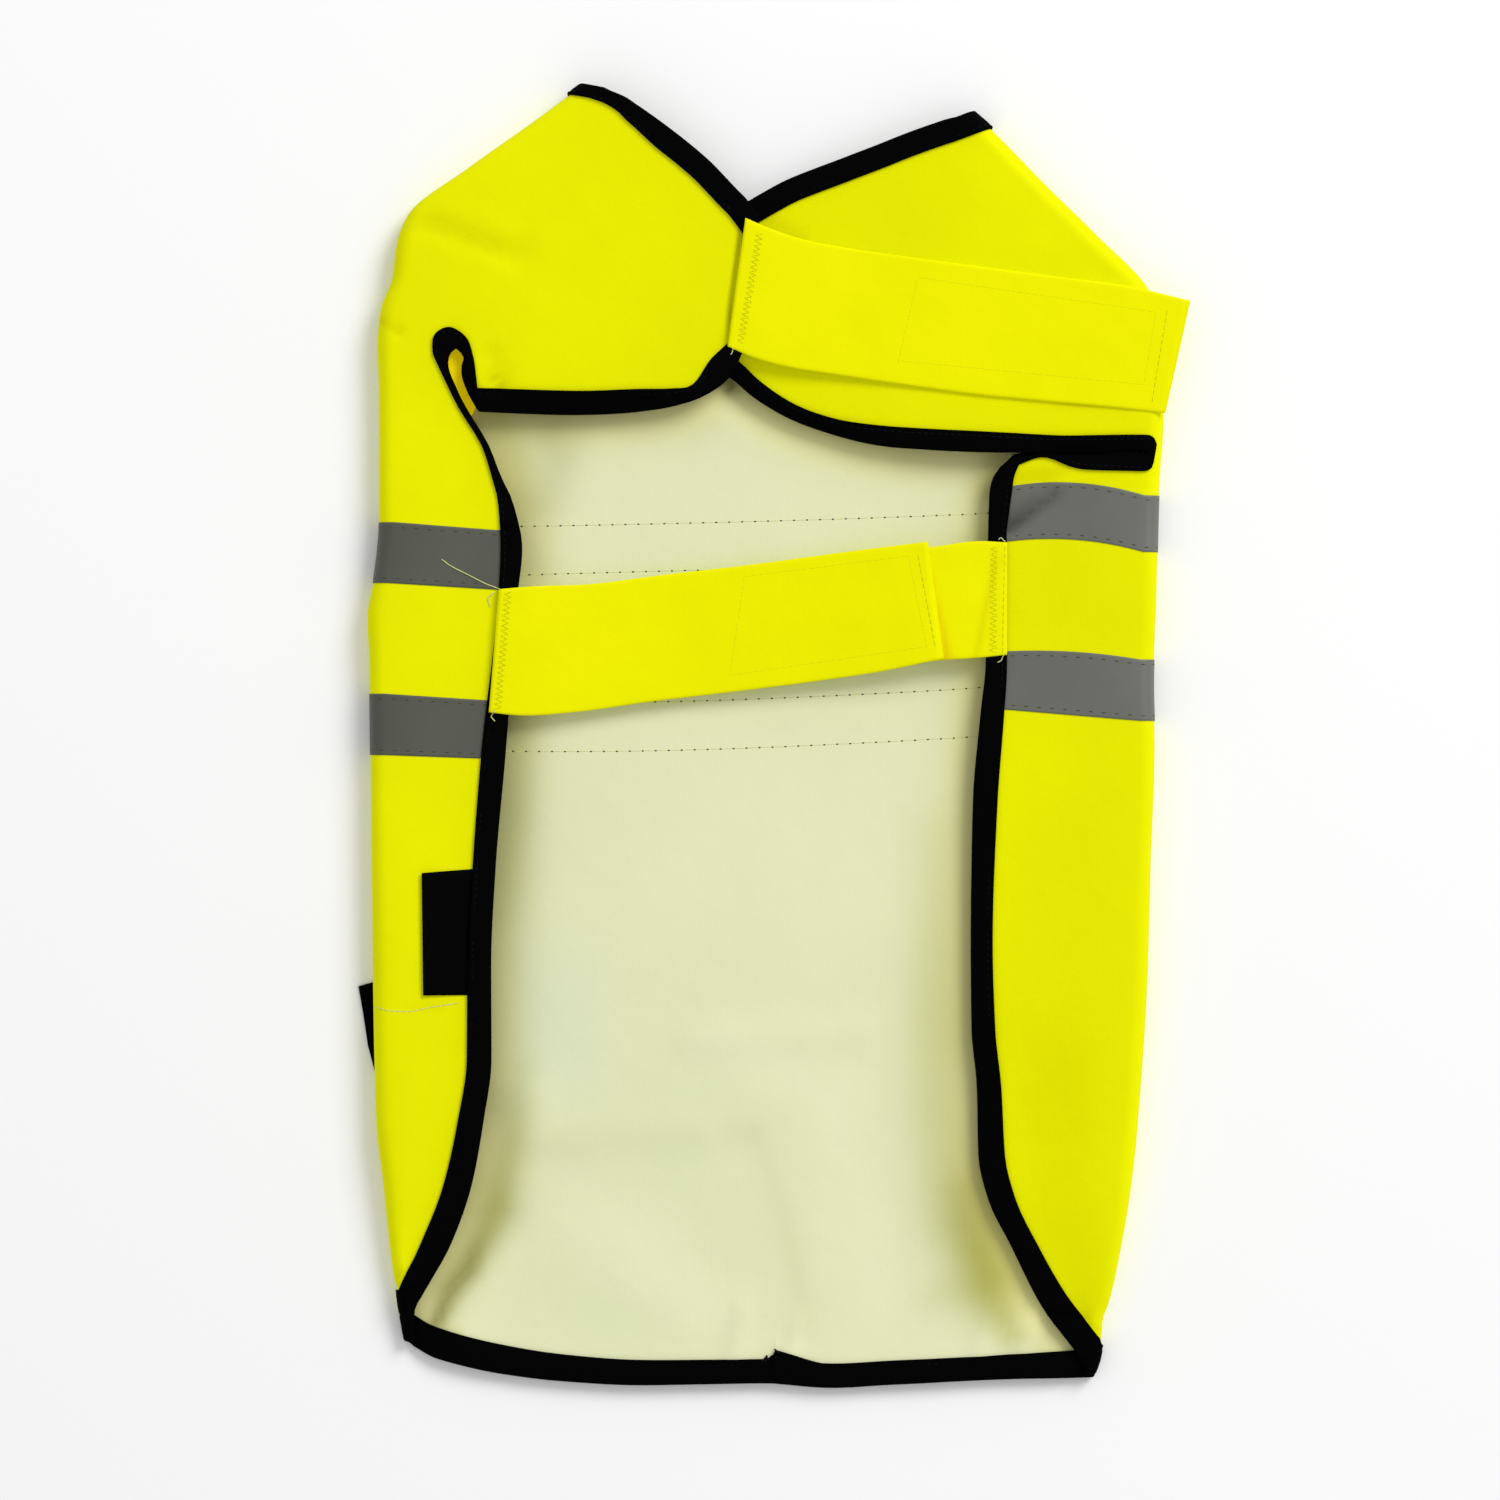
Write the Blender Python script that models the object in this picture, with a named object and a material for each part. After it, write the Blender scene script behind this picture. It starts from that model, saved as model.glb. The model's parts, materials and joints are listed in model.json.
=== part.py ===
"""A dog's high-visibility coat, laid flat on its outer back.

The coat is one cut of coated cloth: a back, a side flap on each side and a chest wing on each side above a leg slit.
It lies with the back down and its coated inner face up. Both sides are folded over onto the back, the left chest wing
lies on the right one, and the two straps are closed. The cloth is described once, as a middle surface of rows (from
hem to neck) and columns (from each side fold inwards). Every piece is made from that surface, moved out of it.

Lengths are in millimetres until a mesh is made. +X is to the right, +Y towards the neck and +Z up. The origin is
under the middle of the coat, on the surface that it lies on.
"""

import math

import bpy
import numpy as np
from mathutils import Vector

MM = 0.001  # metres in a millimetre

# Thicknesses, measured out from the cloth's middle surface.
CLOTH_HALF = 0.5
GAP = 0.3
TRIM = 1.0  # the thickness of binding, reflective tape, label and tab
TRIM_IN = CLOTH_HALF + GAP
TRIM_OUT = TRIM_IN + TRIM
STRAP_HALF = 0.6

# The binding wraps the raw edge: how far back from the finished edge each of its layers lies.
CLOTH_BACK = 1.5
BINDING_CORE_BACK = 1.0
BINDING_ROUND_BACK = 0.6
END_PULL = 0.25  # a binding stops this far short of the next one
FLAT_ENOUGH = 0.12  # planes that differ less than this share one direction out
LONGEST_STEP = 1.35  # of a layer's distance, where the surface turns sharply

BACK_Z = TRIM_OUT  # the back's middle surface, with its tapes and bindings resting on Z = 0
BINDING_WIDTH = 10.0
FOLD_ANGLES = (0, 30, 60, 90)
CREST = len(FOLD_ANGLES) - 1  # the column where a side fold has turned over fully
FLAP_COLUMNS = CREST + 4  # two plain columns, the binding's inner line and the edge
LEAST_PLAIN_SHARE = 0.5  # of a flap's row, where its corner is nearly all binding
FOLD_TANGENT_REACH = 8.0
HEM_BOW_REACH = 110.0
NECK_HOLE_MIDDLE = (2.0, 235.0)

# Rows of the coat from hem to neck: where each crosses the flaps' edges, the side folds and the back's quarters (Y),
# and the number of steps to the next row.
ROW_COLUMNS = ("name", "left_edge", "left_fold", "left_back", "right_back", "right_fold", "right_edge", "steps")
ROWS = [
    ("hem", -248.5, -249.0, -253.0, -256.0, -259.0, -260.5, 1),
    ("hem_inner", -237.5, -238.5, -242.0, -246.0, -249.0, -251.0, 1),
    ("corner", -226.5, -229.5, -233.0, -238.0, -240.5, -240.5, 2),
    ("low", -186.0, -188.0, -191.0, -196.0, -198.0, -197.0, 9),
    ("rear_bottom", -9.3, -7.5, -8.0, -2.5, 6.7, 12.2, 1),
    ("rear_top", 14.6, 17.9, 16.2, 21.6, 32.1, 35.0, 2),
    ("front_bottom", 60.6, 63.8, 66.2, 70.8, 76.7, 79.8, 1),
    ("front_top", 85.1, 89.0, 90.0, 94.4, 100.1, 102.3, 3),
    ("lip", 146.0, 150.0, 135.0, 118.0, 109.3, 111.4, 1),
    ("slit", 160.6, 163.0, 147.0, 129.0, 117.6, 117.2, 1),
    ("leg_inner", 0.0, 172.5, 157.0, 138.0, 126.0, 0.0, 4),
    ("shoulder", 0.0, 216.5, 200.0, 184.0, 184.0, 0.0, 4),
    ("neck_inner", 0.0, 264.2, 259.0, 248.0, 252.1, 0.0, 1),
    ("neck", 0.0, 269.5, 265.0, 254.0, 259.3, 0.0, 0),
]

# The side folds: X of the cloth's outermost line at each Y, the fold's radius, and how far a row on the front and a row
# on the back dip towards the hem where they leave the fold, in degrees.
FOLD_COLUMNS = ("y", "x", "radius", "front_dip", "back_dip")
LEFT_FOLD = [
    (-249.0, -154.0, 2.2, 4, 45),
    (-238.5, -155.7, 3.0, 0, 14),
    (-215.0, -159.0, 4.4, 0, 2),
    (-186.0, -162.2, 5.6, 0, 0),
    (-159.0, -165.2, 6.0, 0, 0),
    (-102.0, -166.5, 6.0, 0, 0),
    (-27.0, -167.3, 6.0, 0, 0),
    (31.0, -168.0, 6.0, 0, 0),
    (50.0, -168.9, 6.0, 0, 0),
    (64.0, -166.4, 6.0, 0, 0),
    (89.0, -163.9, 6.0, 0, 0),
    (142.0, -164.0, 6.0, 0, 0),
    (163.0, -164.6, 6.0, 0, 0),
    (178.0, -163.2, 6.0, 0, 0),
    (190.0, -158.6, 6.0, 0, 4),
    (205.0, -156.6, 6.0, 2, 12),
    (217.0, -151.8, 6.0, 5, 28),
    (236.3, -126.8, 6.0, 9, 55),
    (255.8, -99.3, 6.0, 14, 75),
    (264.2, -87.9, 6.0, 16, 88),
    (269.5, -79.4, 6.0, 17, 90),
]
RIGHT_FOLD = [
    (-259.0, 137.8, 2.2, 4, 50),
    (-249.0, 138.8, 3.0, 0, 14),
    (-218.0, 143.6, 4.4, 0, 2),
    (-185.0, 149.1, 5.6, 0, 0),
    (-161.0, 151.6, 6.0, 0, 0),
    (-101.0, 155.6, 6.0, 0, 0),
    (-52.0, 157.0, 6.0, 0, 0),
    (-3.0, 158.6, 6.0, 0, 0),
    (22.0, 158.1, 6.0, 0, 0),
    (58.0, 159.3, 6.0, 0, 0),
    (103.0, 160.4, 6.0, 0, 0),
    (134.0, 162.4, 6.0, 0, 0),
    (153.0, 162.4, 6.0, 0, 0),
    (172.0, 161.2, 6.0, 0, 2),
    (184.5, 156.8, 6.0, 3, 15),
    (208.3, 134.5, 6.0, 8, 40),
    (229.6, 112.8, 6.0, 13, 58),
    (252.1, 90.7, 6.0, 19, 68),
    (259.3, 82.4, 6.0, 20, 71),
]

# The side flaps' finished edges: X of the edge and of the binding's inner line at each Y, and the height of both.
EDGE_COLUMNS = ("y", "x", "inner_x", "inner_z", "edge_z")
LEFT_EDGE = [
    (-248.5, -148.6, -156.0, 6.3, 6.2),
    (-237.5, -148.3, -156.0, 7.4, 7.0),
    (-226.5, -141.8, -155.0, 8.2, 7.6),
    (-211.0, -134.0, -147.5, 9.2, 8.0),
    (-186.0, -125.2, -137.2, 9.8, 8.8),
    (-159.0, -120.2, -131.0, 9.8, 9.2),
    (-134.0, -117.0, -127.3, 9.8, 9.2),
    (-94.0, -117.1, -127.0, 9.8, 9.2),
    (-55.0, -115.3, -124.9, 9.8, 9.2),
    (-9.0, -111.3, -121.4, 9.8, 9.2),
    (60.0, -106.0, -114.0, 9.8, 9.2),
    (78.0, -104.2, -113.2, 9.9, 9.1),
    (97.0, -108.0, -114.3, 10.4, 8.8),
    (120.0, -118.5, -122.0, 11.4, 8.2),
    (136.0, -128.0, -131.6, 12.4, 8.6),
    (146.0, -132.2, -137.2, 13.0, 9.6),
    (160.6, -131.6, -141.4, 13.7, 12.8),
]
RIGHT_EDGE = [
    (-260.5, 129.5, 134.0, 6.3, 6.2),
    (-251.0, 122.1, 134.0, 7.4, 7.0),
    (-240.5, 114.0, 128.6, 8.2, 7.6),
    (-232.5, 109.1, 122.4, 8.6, 7.8),
    (-211.0, 98.5, 110.0, 9.4, 8.4),
    (-192.0, 89.2, 100.8, 9.8, 8.8),
    (-174.0, 85.2, 96.3, 9.8, 9.2),
    (-145.0, 84.5, 94.7, 9.8, 9.2),
    (-121.0, 82.3, 92.2, 9.8, 9.2),
    (-85.0, 82.0, 91.1, 9.8, 9.2),
    (-28.0, 82.8, 93.0, 9.8, 9.2),
    (9.0, 85.9, 95.7, 9.8, 9.2),
    (30.0, 88.1, 97.0, 9.8, 9.2),
    (82.0, 89.1, 96.9, 9.8, 9.2),
    (100.0, 89.6, 99.1, 9.8, 9.2),
    (106.0, 90.6, 99.8, 10.2, 9.2),
    (111.4, 93.8, 102.0, 10.6, 9.2),
    (117.2, 100.3, 108.0, 10.6, 9.6),
]
LIP_DROP = 2.4  # how far the lower lip of the right slit dips at its edge
LIP_BACK = 0.8  # half the space between the slit's two lips

# The back from the left fold to the right one: the share of a row, the finished hem and the finished neck edge.
BACK_COLUMNS = ("share", "hem_x", "hem_y", "neck_x", "neck_y")
BACK = [
    (0.05, -139.0, -259.0, -77.0, 246.0),
    (0.14, -113.0, -265.0, -73.0, 222.0),
    (0.23, -86.0, -268.2, -62.0, 201.0),
    (0.32, -57.0, -269.7, -44.0, 187.0),
    (0.41, -28.0, -269.3, -22.0, 181.0),
    (0.50, 0.0, -269.0, 2.0, 179.0),
    (0.58, 22.0, -270.8, 27.0, 181.0),
    (0.67, 48.0, -269.6, 49.0, 187.0),
    (0.77, 77.0, -268.1, 66.0, 199.0),
    (0.86, 106.0, -267.0, 76.0, 216.0),
    (0.95, 131.0, -266.6, 81.0, 236.0),
]

# The chest wings from the side fold to the far end: the finished leg edge, the binding's inner line there, the
# finished neck edge, the height, and how far the leg edge drops below it.
WING_COLUMNS = ("leg_x", "leg_y", "inner_x", "inner_y", "neck_x", "neck_y", "z", "drop")
LEFT_WING = [
    (-152.8, 161.9, -152.8, 172.3, -67.6, 268.6, 13.8, 0.0),
    (-147.1, 161.8, -147.2, 172.0, -64.4, 267.2, 13.8, 0.0),
    (-141.4, 161.6, -140.4, 168.6, -60.8, 265.0, 13.8, 0.1),
    (-131.6, 160.6, -133.8, 170.0, -57.0, 262.4, 13.7, 0.9),
    (-128.6, 154.5, -127.4, 164.4, -52.0, 259.0, 13.7, 2.0),
    (-128.6, 147.0, -123.7, 154.6, -47.0, 255.4, 13.6, 2.6),
    (-125.9, 140.2, -122.8, 147.5, -41.5, 251.3, 13.6, 2.6),
    (-120.5, 134.8, -118.8, 144.6, -36.0, 247.0, 13.5, 1.6),
    (-103.0, 134.1, -102.0, 144.0, -31.0, 242.9, 13.4, 0.8),
    (-78.0, 133.8, -78.0, 143.5, -25.5, 238.0, 13.3, 0.8),
    (-54.0, 135.3, -55.5, 144.3, -20.3, 232.6, 13.3, 1.0),
    (-39.5, 137.7, -42.0, 145.4, -15.5, 227.5, 13.2, 1.0),
    (-29.5, 141.0, -34.2, 149.0, -11.0, 222.9, 13.2, 0.6),
    (-18.4, 148.8, -25.4, 156.2, -7.8, 218.8, 13.2, 0.2),
    (-12.6, 159.6, -11.2, 169.5, -4.7, 214.6, 13.2, 0.0),
]
RIGHT_WING = [
    (150.0, 118.7, 149.0, 125.8, 72.0, 256.2, 13.6, 2.4),
    (138.0, 118.4, 137.0, 125.6, 66.5, 254.4, 13.4, 2.8),
    (120.0, 118.0, 120.3, 125.0, 59.5, 252.0, 13.0, 2.4),
    (101.0, 117.9, 100.0, 126.0, 52.0, 249.2, 12.6, 1.2),
    (84.3, 118.1, 83.0, 126.9, 43.0, 245.6, 12.1, 0.8),
    (62.8, 119.2, 61.5, 128.0, 34.0, 242.2, 11.5, 1.2),
    (42.0, 121.2, 43.0, 129.4, 25.0, 238.8, 10.8, 2.0),
    (24.1, 125.8, 27.0, 131.8, 15.5, 235.3, 10.1, 2.6),
    (5.3, 132.9, 8.8, 138.2, 5.5, 231.3, 9.4, 2.2),
    (-8.9, 141.5, -5.2, 147.5, -4.5, 226.0, 8.9, 1.4),
    (-17.6, 148.8, -15.0, 156.5, -13.0, 221.0, 8.6, 0.6),
    (-27.0, 153.5, -25.5, 162.8, -21.5, 215.7, 8.5, 0.2),
    (-36.0, 157.0, -35.0, 166.8, -30.0, 210.0, 8.5, 0.0),
]

# The straps from left to right: their upper edge, their lower edge and their height.
STRAP_COLUMNS = ("top_x", "top_y", "bottom_x", "bottom_y", "z")
CHEST_STRAP = [
    (-11.6, 215.0, -19.0, 161.8, 15.9),
    (-1.5, 210.6, -8.5, 157.2, 15.9),
    (13.0, 206.0, 6.0, 153.2, 14.6),
    (30.0, 202.8, 24.0, 150.4, 13.6),
    (60.0, 198.5, 54.0, 146.0, 13.8),
    (90.0, 194.4, 86.0, 141.7, 14.4),
    (120.0, 190.4, 114.0, 139.0, 15.0),
    (146.0, 187.0, 140.0, 136.6, 15.4),
    (172.8, 180.8, 162.4, 134.2, 15.4),
]
BELLY_STRAP = [
    (-113.9, 61.3, -118.0, 10.2, 12.6),
    (-101.0, 62.4, -105.5, 8.9, 12.6),
    (-76.8, 63.4, -82.0, 10.3, 11.2),
    (-46.0, 67.3, -52.0, 14.5, 10.2),
    (-9.0, 71.6, -15.0, 18.9, 10.2),
    (24.0, 76.0, 17.0, 23.0, 11.0),
    (47.0, 78.9, 44.5, 27.1, 12.8),
    (64.1, 81.0, 70.7, 32.5, 14.1),
]
BELLY_STRAP_STUB = [
    (34.0, 74.5, 34.0, 28.5, 9.4),
    (52.0, 76.8, 54.0, 30.2, 11.1),
    (70.0, 79.4, 71.6, 31.9, 12.4),
    (84.0, 81.2, 86.0, 32.9, 12.6),
    (97.0, 80.7, 96.9, 34.1, 12.6),
]

# The woven side label, sewn under the left side binding, and the tab that shows past the left fold.
LABEL_LEFT = -145.6
LABEL_RIGHT_GAP = 0.5
LABEL_TOP = -56.5
LABEL_BOTTOM = -107.2
LABEL_STEPS = 4
LABEL_LIFT = 0.35  # clears the flap's facets, which cut the corners of its curve
TAB_OUTLINE = [
    (-172.8, -103.8),
    (-170.8, -115.3),
    (-168.9, -128.3),
    (-166.0, -139.2),
    (-146.0, -134.0),
    (-146.0, -96.5),
]

COLOURS = {
    "hi_vis": ((0.82, 0.88, 0.0, 1.0), 0.62),
    "binding": ((0.012, 0.012, 0.013, 1.0), 0.8),
    "reflective": ((0.14, 0.145, 0.14, 1.0), 0.35),
    "woven_label": ((0.015, 0.015, 0.017, 1.0), 0.6),
}


def named(columns, table):
    """A table as a dictionary of its columns."""
    return {column: [line[i] for line in table] for i, column in enumerate(columns)}


def plan_line(stations, edge):
    """One edge of a table of stations as plan points."""
    return [Vector(place) for place in zip(stations[edge + "_x"], stations[edge + "_y"])]


def smooth(xs, ys, x):
    """The value at x of a curve through the points (xs, ys), level where they turn, so that it never overshoots."""
    i = max(0, min(len(xs) - 2, sum(knot <= x for knot in xs) - 1))
    steps = [xs[k + 1] - xs[k] for k in range(len(xs) - 1)]
    slopes = [(ys[k + 1] - ys[k]) / steps[k] for k in range(len(steps))]

    def tangent(k):
        if k == 0 or k == len(xs) - 1:
            return slopes[0] if k == 0 else slopes[-1]
        before, after = slopes[k - 1], slopes[k]
        return 0.0 if before * after <= 0 else 2 * before * after / (before + after)

    t = (x - xs[i]) / steps[i]
    hermite = (2 * t**3 - 3 * t**2 + 1, t**3 - 2 * t**2 + t, 3 * t**2 - 2 * t**3, t**3 - t**2)
    parts = (ys[i], tangent(i) * steps[i], ys[i + 1], tangent(i + 1) * steps[i])
    return sum(h * part for h, part in zip(hermite, parts))


def ease(t):
    """A smooth step from 0 to 1."""
    t = max(0.0, min(1.0, t))
    return t * t * (3 - 2 * t)


def mix(a, b, t):
    return a * (1 - t) + b * t


SIDES = {
    "left": {"inward": 1, "fold": named(FOLD_COLUMNS, LEFT_FOLD), "edge": named(EDGE_COLUMNS, LEFT_EDGE)},
    "right": {"inward": -1, "fold": named(FOLD_COLUMNS, RIGHT_FOLD), "edge": named(EDGE_COLUMNS, RIGHT_EDGE)},
}


def row_list():
    """Every row of the coat as a dictionary, with the rows between the named ones worked out."""
    named_rows = [dict(zip(ROW_COLUMNS, row)) for row in ROWS]
    rows = []
    for row, after in zip(named_rows, named_rows[1:]):
        for step in range(row["steps"]):
            share = step / row["steps"]
            blend = {key: mix(row[key], after[key], share) for key in ROW_COLUMNS[1:-1]}
            blend["name"] = row["name"] if step == 0 else ""
            rows.append(blend)
    rows.append(named_rows[-1])
    return rows


ROW = row_list()
AT = {row["name"]: i for i, row in enumerate(ROW) if row["name"]}


def fold_points(side, y, layer):
    """The points of one side fold in one row, from its outermost line to its crest, on the front or the back layer."""
    fold = SIDES[side]["fold"]
    inward = SIDES[side]["inward"]

    def value(column, at=y):
        return smooth(fold["y"], fold[column], at)

    low = max(fold["y"][0], y - FOLD_TANGENT_REACH)
    high = min(fold["y"][-1], y + FOLD_TANGENT_REACH)
    lean = (value("x", high) - value("x", low)) / (high - low)
    normal = Vector((inward, -inward * lean)).normalized()
    dip = math.radians(value(layer + "_dip"))
    along = Vector((inward * math.cos(dip), -math.sin(dip)))
    radius = value("radius")
    reach = radius / along.dot(normal)
    start = Vector((value("x") + inward * CLOTH_HALF, y))
    up = 1 if layer == "front" else -1
    points = []
    for degrees in FOLD_ANGLES:
        turn = math.radians(degrees)
        plan = start + along * reach * (1 - math.cos(turn))
        points.append(Vector((plan.x, plan.y, BACK_Z + radius * (1 + up * math.sin(turn)))))
    return points


def edge_value(side, column, y):
    edge = SIDES[side]["edge"]
    return smooth(edge["y"], edge[column], y)


def flap_row(side, row):
    """A row of a side flap, from the outermost line of its fold to its finished edge."""
    points = fold_points(side, row[side + "_fold"], "front")
    crest = points[-1]
    edge_y = row[side + "_edge"]
    end_x, inner_x, inner_z, edge_z = (edge_value(side, column, edge_y) for column in EDGE_COLUMNS[1:])
    share = max(LEAST_PLAIN_SHARE, (inner_x - crest.x) / (end_x - crest.x))
    for column in (1, 2, 3):
        part = share * column / 3
        points.append(Vector((mix(crest.x, end_x, part), mix(crest.y, edge_y, part),
                              mix(crest.z, inner_z, ease(column / 3)))))
    points.append(Vector((end_x, edge_y, edge_z)))
    return points


def lower_lip(points):
    """The right flap's top row, bent down and back from the slit that it closes."""
    for point in points[CREST + 1:-1]:
        point.y -= LIP_BACK
        point.z -= LIP_DROP
    return points


def beside(line, distance, towards):
    """A line of plan points moved sideways by a distance, to the side that holds the point towards."""
    moved = []
    for i, point in enumerate(line):
        along = line[min(i + 1, len(line) - 1)] - line[max(i - 1, 0)]
        across = Vector((-along.y, along.x)).normalized()
        if across.dot(towards - point) < 0:
            across.negate()
        moved.append(point + across * distance)
    return moved


def wing_rows(side, table):
    """The rows of a chest wing, from the slit to the neck, each from its fold's outermost line to its far end."""
    folds = [fold_points(side, row[side + "_fold"], "front") for row in ROW]
    first, last = AT["leg_inner"], AT["neck_inner"]
    crests = [Vector(points[-1][:2]) for points in folds]
    climbs = [0.0]
    for i in range(first, last):
        climbs.append(climbs[-1] + (crests[i + 1] - crests[i]).length)
    stations = named(WING_COLUMNS, table)
    leg = plan_line(stations, "leg")
    inner = plan_line(stations, "inner")
    neck = plan_line(stations, "neck")
    neck_inner = beside(neck, BINDING_WIDTH, inner[len(inner) // 2])
    lengths = [(inner[0] - crests[first]).length]
    for a, b in zip(inner, inner[1:]):
        lengths.append(lengths[-1] + (b - a).length)

    rows = {}
    for i in range(AT["slit"], AT["neck"] + 1):
        rows[i] = list(folds[i])
        for k, z in enumerate(stations["z"]):
            if i == AT["slit"]:
                plan = leg[k]
                z -= stations["drop"][k]
            elif i == AT["neck"]:
                plan = neck[k]
            else:
                climb = climbs[i - first] / climbs[-1]
                bulge = crests[i] - mix(crests[first], crests[last], climb)
                plan = mix(inner[k], neck_inner[k], climb) + bulge * (1 - lengths[k] / lengths[-1])
            rows[i].append(Vector((plan.x, plan.y, z)))
    return rows


def back_row(i):
    """A row of the back, from the left fold's outermost line to the right one's."""
    row = ROW[i]
    left = fold_points("left", row["left_fold"], "back")
    right = fold_points("right", row["right_fold"], "back")

    def plain(at_row, share):
        a = fold_points("left", at_row["left_fold"], "back")[-1]
        b = fold_points("right", at_row["right_fold"], "back")[-1]
        ys = (a.y, at_row["left_back"], at_row["right_back"], b.y)
        return Vector((mix(a.x, b.x, share), smooth((0.0, 0.25, 0.75, 1.0), ys, share)))

    hem_share = 1 - ease((row["left_fold"] - ROW[AT["hem_inner"]]["left_fold"]) / HEM_BOW_REACH)
    first, last = ROW[AT["slit"]], ROW[AT["neck_inner"]]
    climbed = (row["left_back"] + row["right_back"]) - (first["left_back"] + first["right_back"])
    climb = (last["left_back"] + last["right_back"]) - (first["left_back"] + first["right_back"])
    neck_share = max(0.0, min(1.0, climbed / climb))
    stations = named(BACK_COLUMNS, BACK)
    hem_edge = plan_line(stations, "hem")
    neck_edge = plan_line(stations, "neck")
    neck_inner = beside(neck_edge, -BINDING_WIDTH, Vector(NECK_HOLE_MIDDLE))
    target_row, target = (ROW[-1], neck_edge) if i == AT["neck"] else (last, neck_inner)
    middle = []
    for k, share in enumerate(stations["share"]):
        plan = plain(row, share)
        hem_bow = hem_edge[k] - plain(ROW[0], share)
        neck_bow = target[k] - plain(target_row, share)
        plan = plan + hem_bow * hem_share + neck_bow * neck_share
        middle.append(Vector((plan.x, plan.y, BACK_Z)))
    return left + middle + right[::-1]


def halves(loop):
    """A four-cornered face as two triangles, split the same way on every layer so that the layers stay parallel."""
    a, b, c, d = loop
    return [[a, b, c], [a, c, d]]


class Surface:
    """The coat's middle surface: points, faces that look to the outer side, and each face's patch, row and column."""

    def __init__(self):
        self.points = []
        self.faces = []
        self.tags = []
        self.key = {}

    def point(self, place):
        key = tuple(round(value, 4) for value in place)
        if key not in self.key:
            self.key[key] = len(self.points)
            self.points.append(place.copy())
        return self.key[key]

    def patch(self, name, rows, first_row, flip):
        grid = [[self.point(place) for place in row] for row in rows]
        for r, (low, high) in enumerate(zip(grid, grid[1:])):
            for c in range(len(low) - 1):
                face = [low[c], low[c + 1], high[c + 1], high[c]]
                self.faces.append(face[::-1] if flip else face)
                self.tags.append((name, first_row + r, c))

    def finish(self):
        """Work out face normals, point offsets of one unit, and which edges are free."""
        self.normals = []
        planes = [[] for _ in self.points]
        edges = {}
        for f, face in enumerate(self.faces):
            a, b, c, d = (self.points[v] for v in face)
            self.normals.append((c - a).cross(d - b).normalized())
            for half in halves(face):
                a, b, c = (self.points[v] for v in half)
                for v in half:
                    planes[v].append((b - a).cross(c - a).normalized())
            for v, w in zip(face, face[1:] + face[:1]):
                edges[(v, w)] = f
        self.free = {edge: f for edge, f in edges.items() if edge[::-1] not in edges}
        self.unit = []
        for normals in planes:
            # The step that is one unit out of every plane round the point, as nearly as can be.
            step = Vector(np.linalg.pinv(np.array(normals), rcond=FLAT_ENOUGH) @ np.ones(len(normals)))
            self.unit.append(step * min(1.0, LONGEST_STEP / step.length))

    def spokes(self, v):
        """The directions of the edges that leave a point."""
        ends = {w for face in self.faces if v in face for w in (face[face.index(v) - 1], face[face.index(v) - 3])}
        return [(self.points[w] - self.points[v]).normalized() for w in ends]

    def pick(self, wanted):
        return [f for f, tag in enumerate(self.tags) if wanted(*tag)]


def boundary(surface, faces):
    """The directed edges round a set of faces, with the face that each belongs to."""
    edges = {}
    for f in faces:
        face = surface.faces[f]
        for v, w in zip(face, face[1:] + face[:1]):
            edges[(v, w)] = f
    return {edge: f for edge, f in edges.items() if edge[::-1] not in edges}


def inward_at_edge(surface, free_edges):
    """For each point on the free edges, the way back into the cloth, square to the edge."""
    square = {}
    leave = {}
    for (v, w), f in free_edges.items():
        along = (surface.points[w] - surface.points[v]).normalized()
        across = surface.normals[f].cross(along)
        for point, outwards in ((v, along), (w, -along)):
            square.setdefault(point, []).append(across)
            leave.setdefault(point, []).append(outwards)
    ways = {}
    for point, directions in square.items():
        total = sum(directions, Vector())
        if len(directions) == 2 and total.length < 0.9:  # the inner end of a slit
            past_the_end = -(leave[point][0] + leave[point][1])
            ways[point] = max(surface.spokes(point), key=past_the_end.dot)
        else:
            way = total.normalized()
            ways[point] = way / max(0.7, way.dot(directions[0]))
    return ways


def pulled(surface, faces, edges, distance):
    """How far each point on some edges moves towards the middle of its faces."""
    moves = {}
    for v in {v for edge in edges for v in edge}:
        mine = [f for f in faces if v in surface.faces[f]]
        middle = sum((surface.points[w] for f in mine for w in surface.faces[f]), Vector()) / (4 * len(mine))
        moves[v] = (middle - surface.points[v]).normalized() * distance
    return moves


def make_object(name, points, faces, finish):
    """One closed piece as an object, from points in millimetres, with nothing below the surface that it lies on."""
    mesh = bpy.data.meshes.new(name)
    mesh.from_pydata([(x * MM, y * MM, max(z, 0.0) * MM) for x, y, z in points], [], faces)
    mesh.validate()
    mesh.materials.append(material(finish))
    piece = bpy.data.objects.new(name, mesh)
    bpy.context.scene.collection.objects.link(piece)
    return piece


def material(name):
    if name in bpy.data.materials:
        return bpy.data.materials[name]
    colour, roughness = COLOURS[name]
    made = bpy.data.materials.new(name)
    made.use_nodes = True
    shader = made.node_tree.nodes["Principled BSDF"]
    shader.inputs["Base Color"].default_value = colour
    shader.inputs["Roughness"].default_value = roughness
    shader.inputs["Metallic"].default_value = 0.0
    return made


def turned(faces):
    return [face[::-1] for face in faces]


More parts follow.
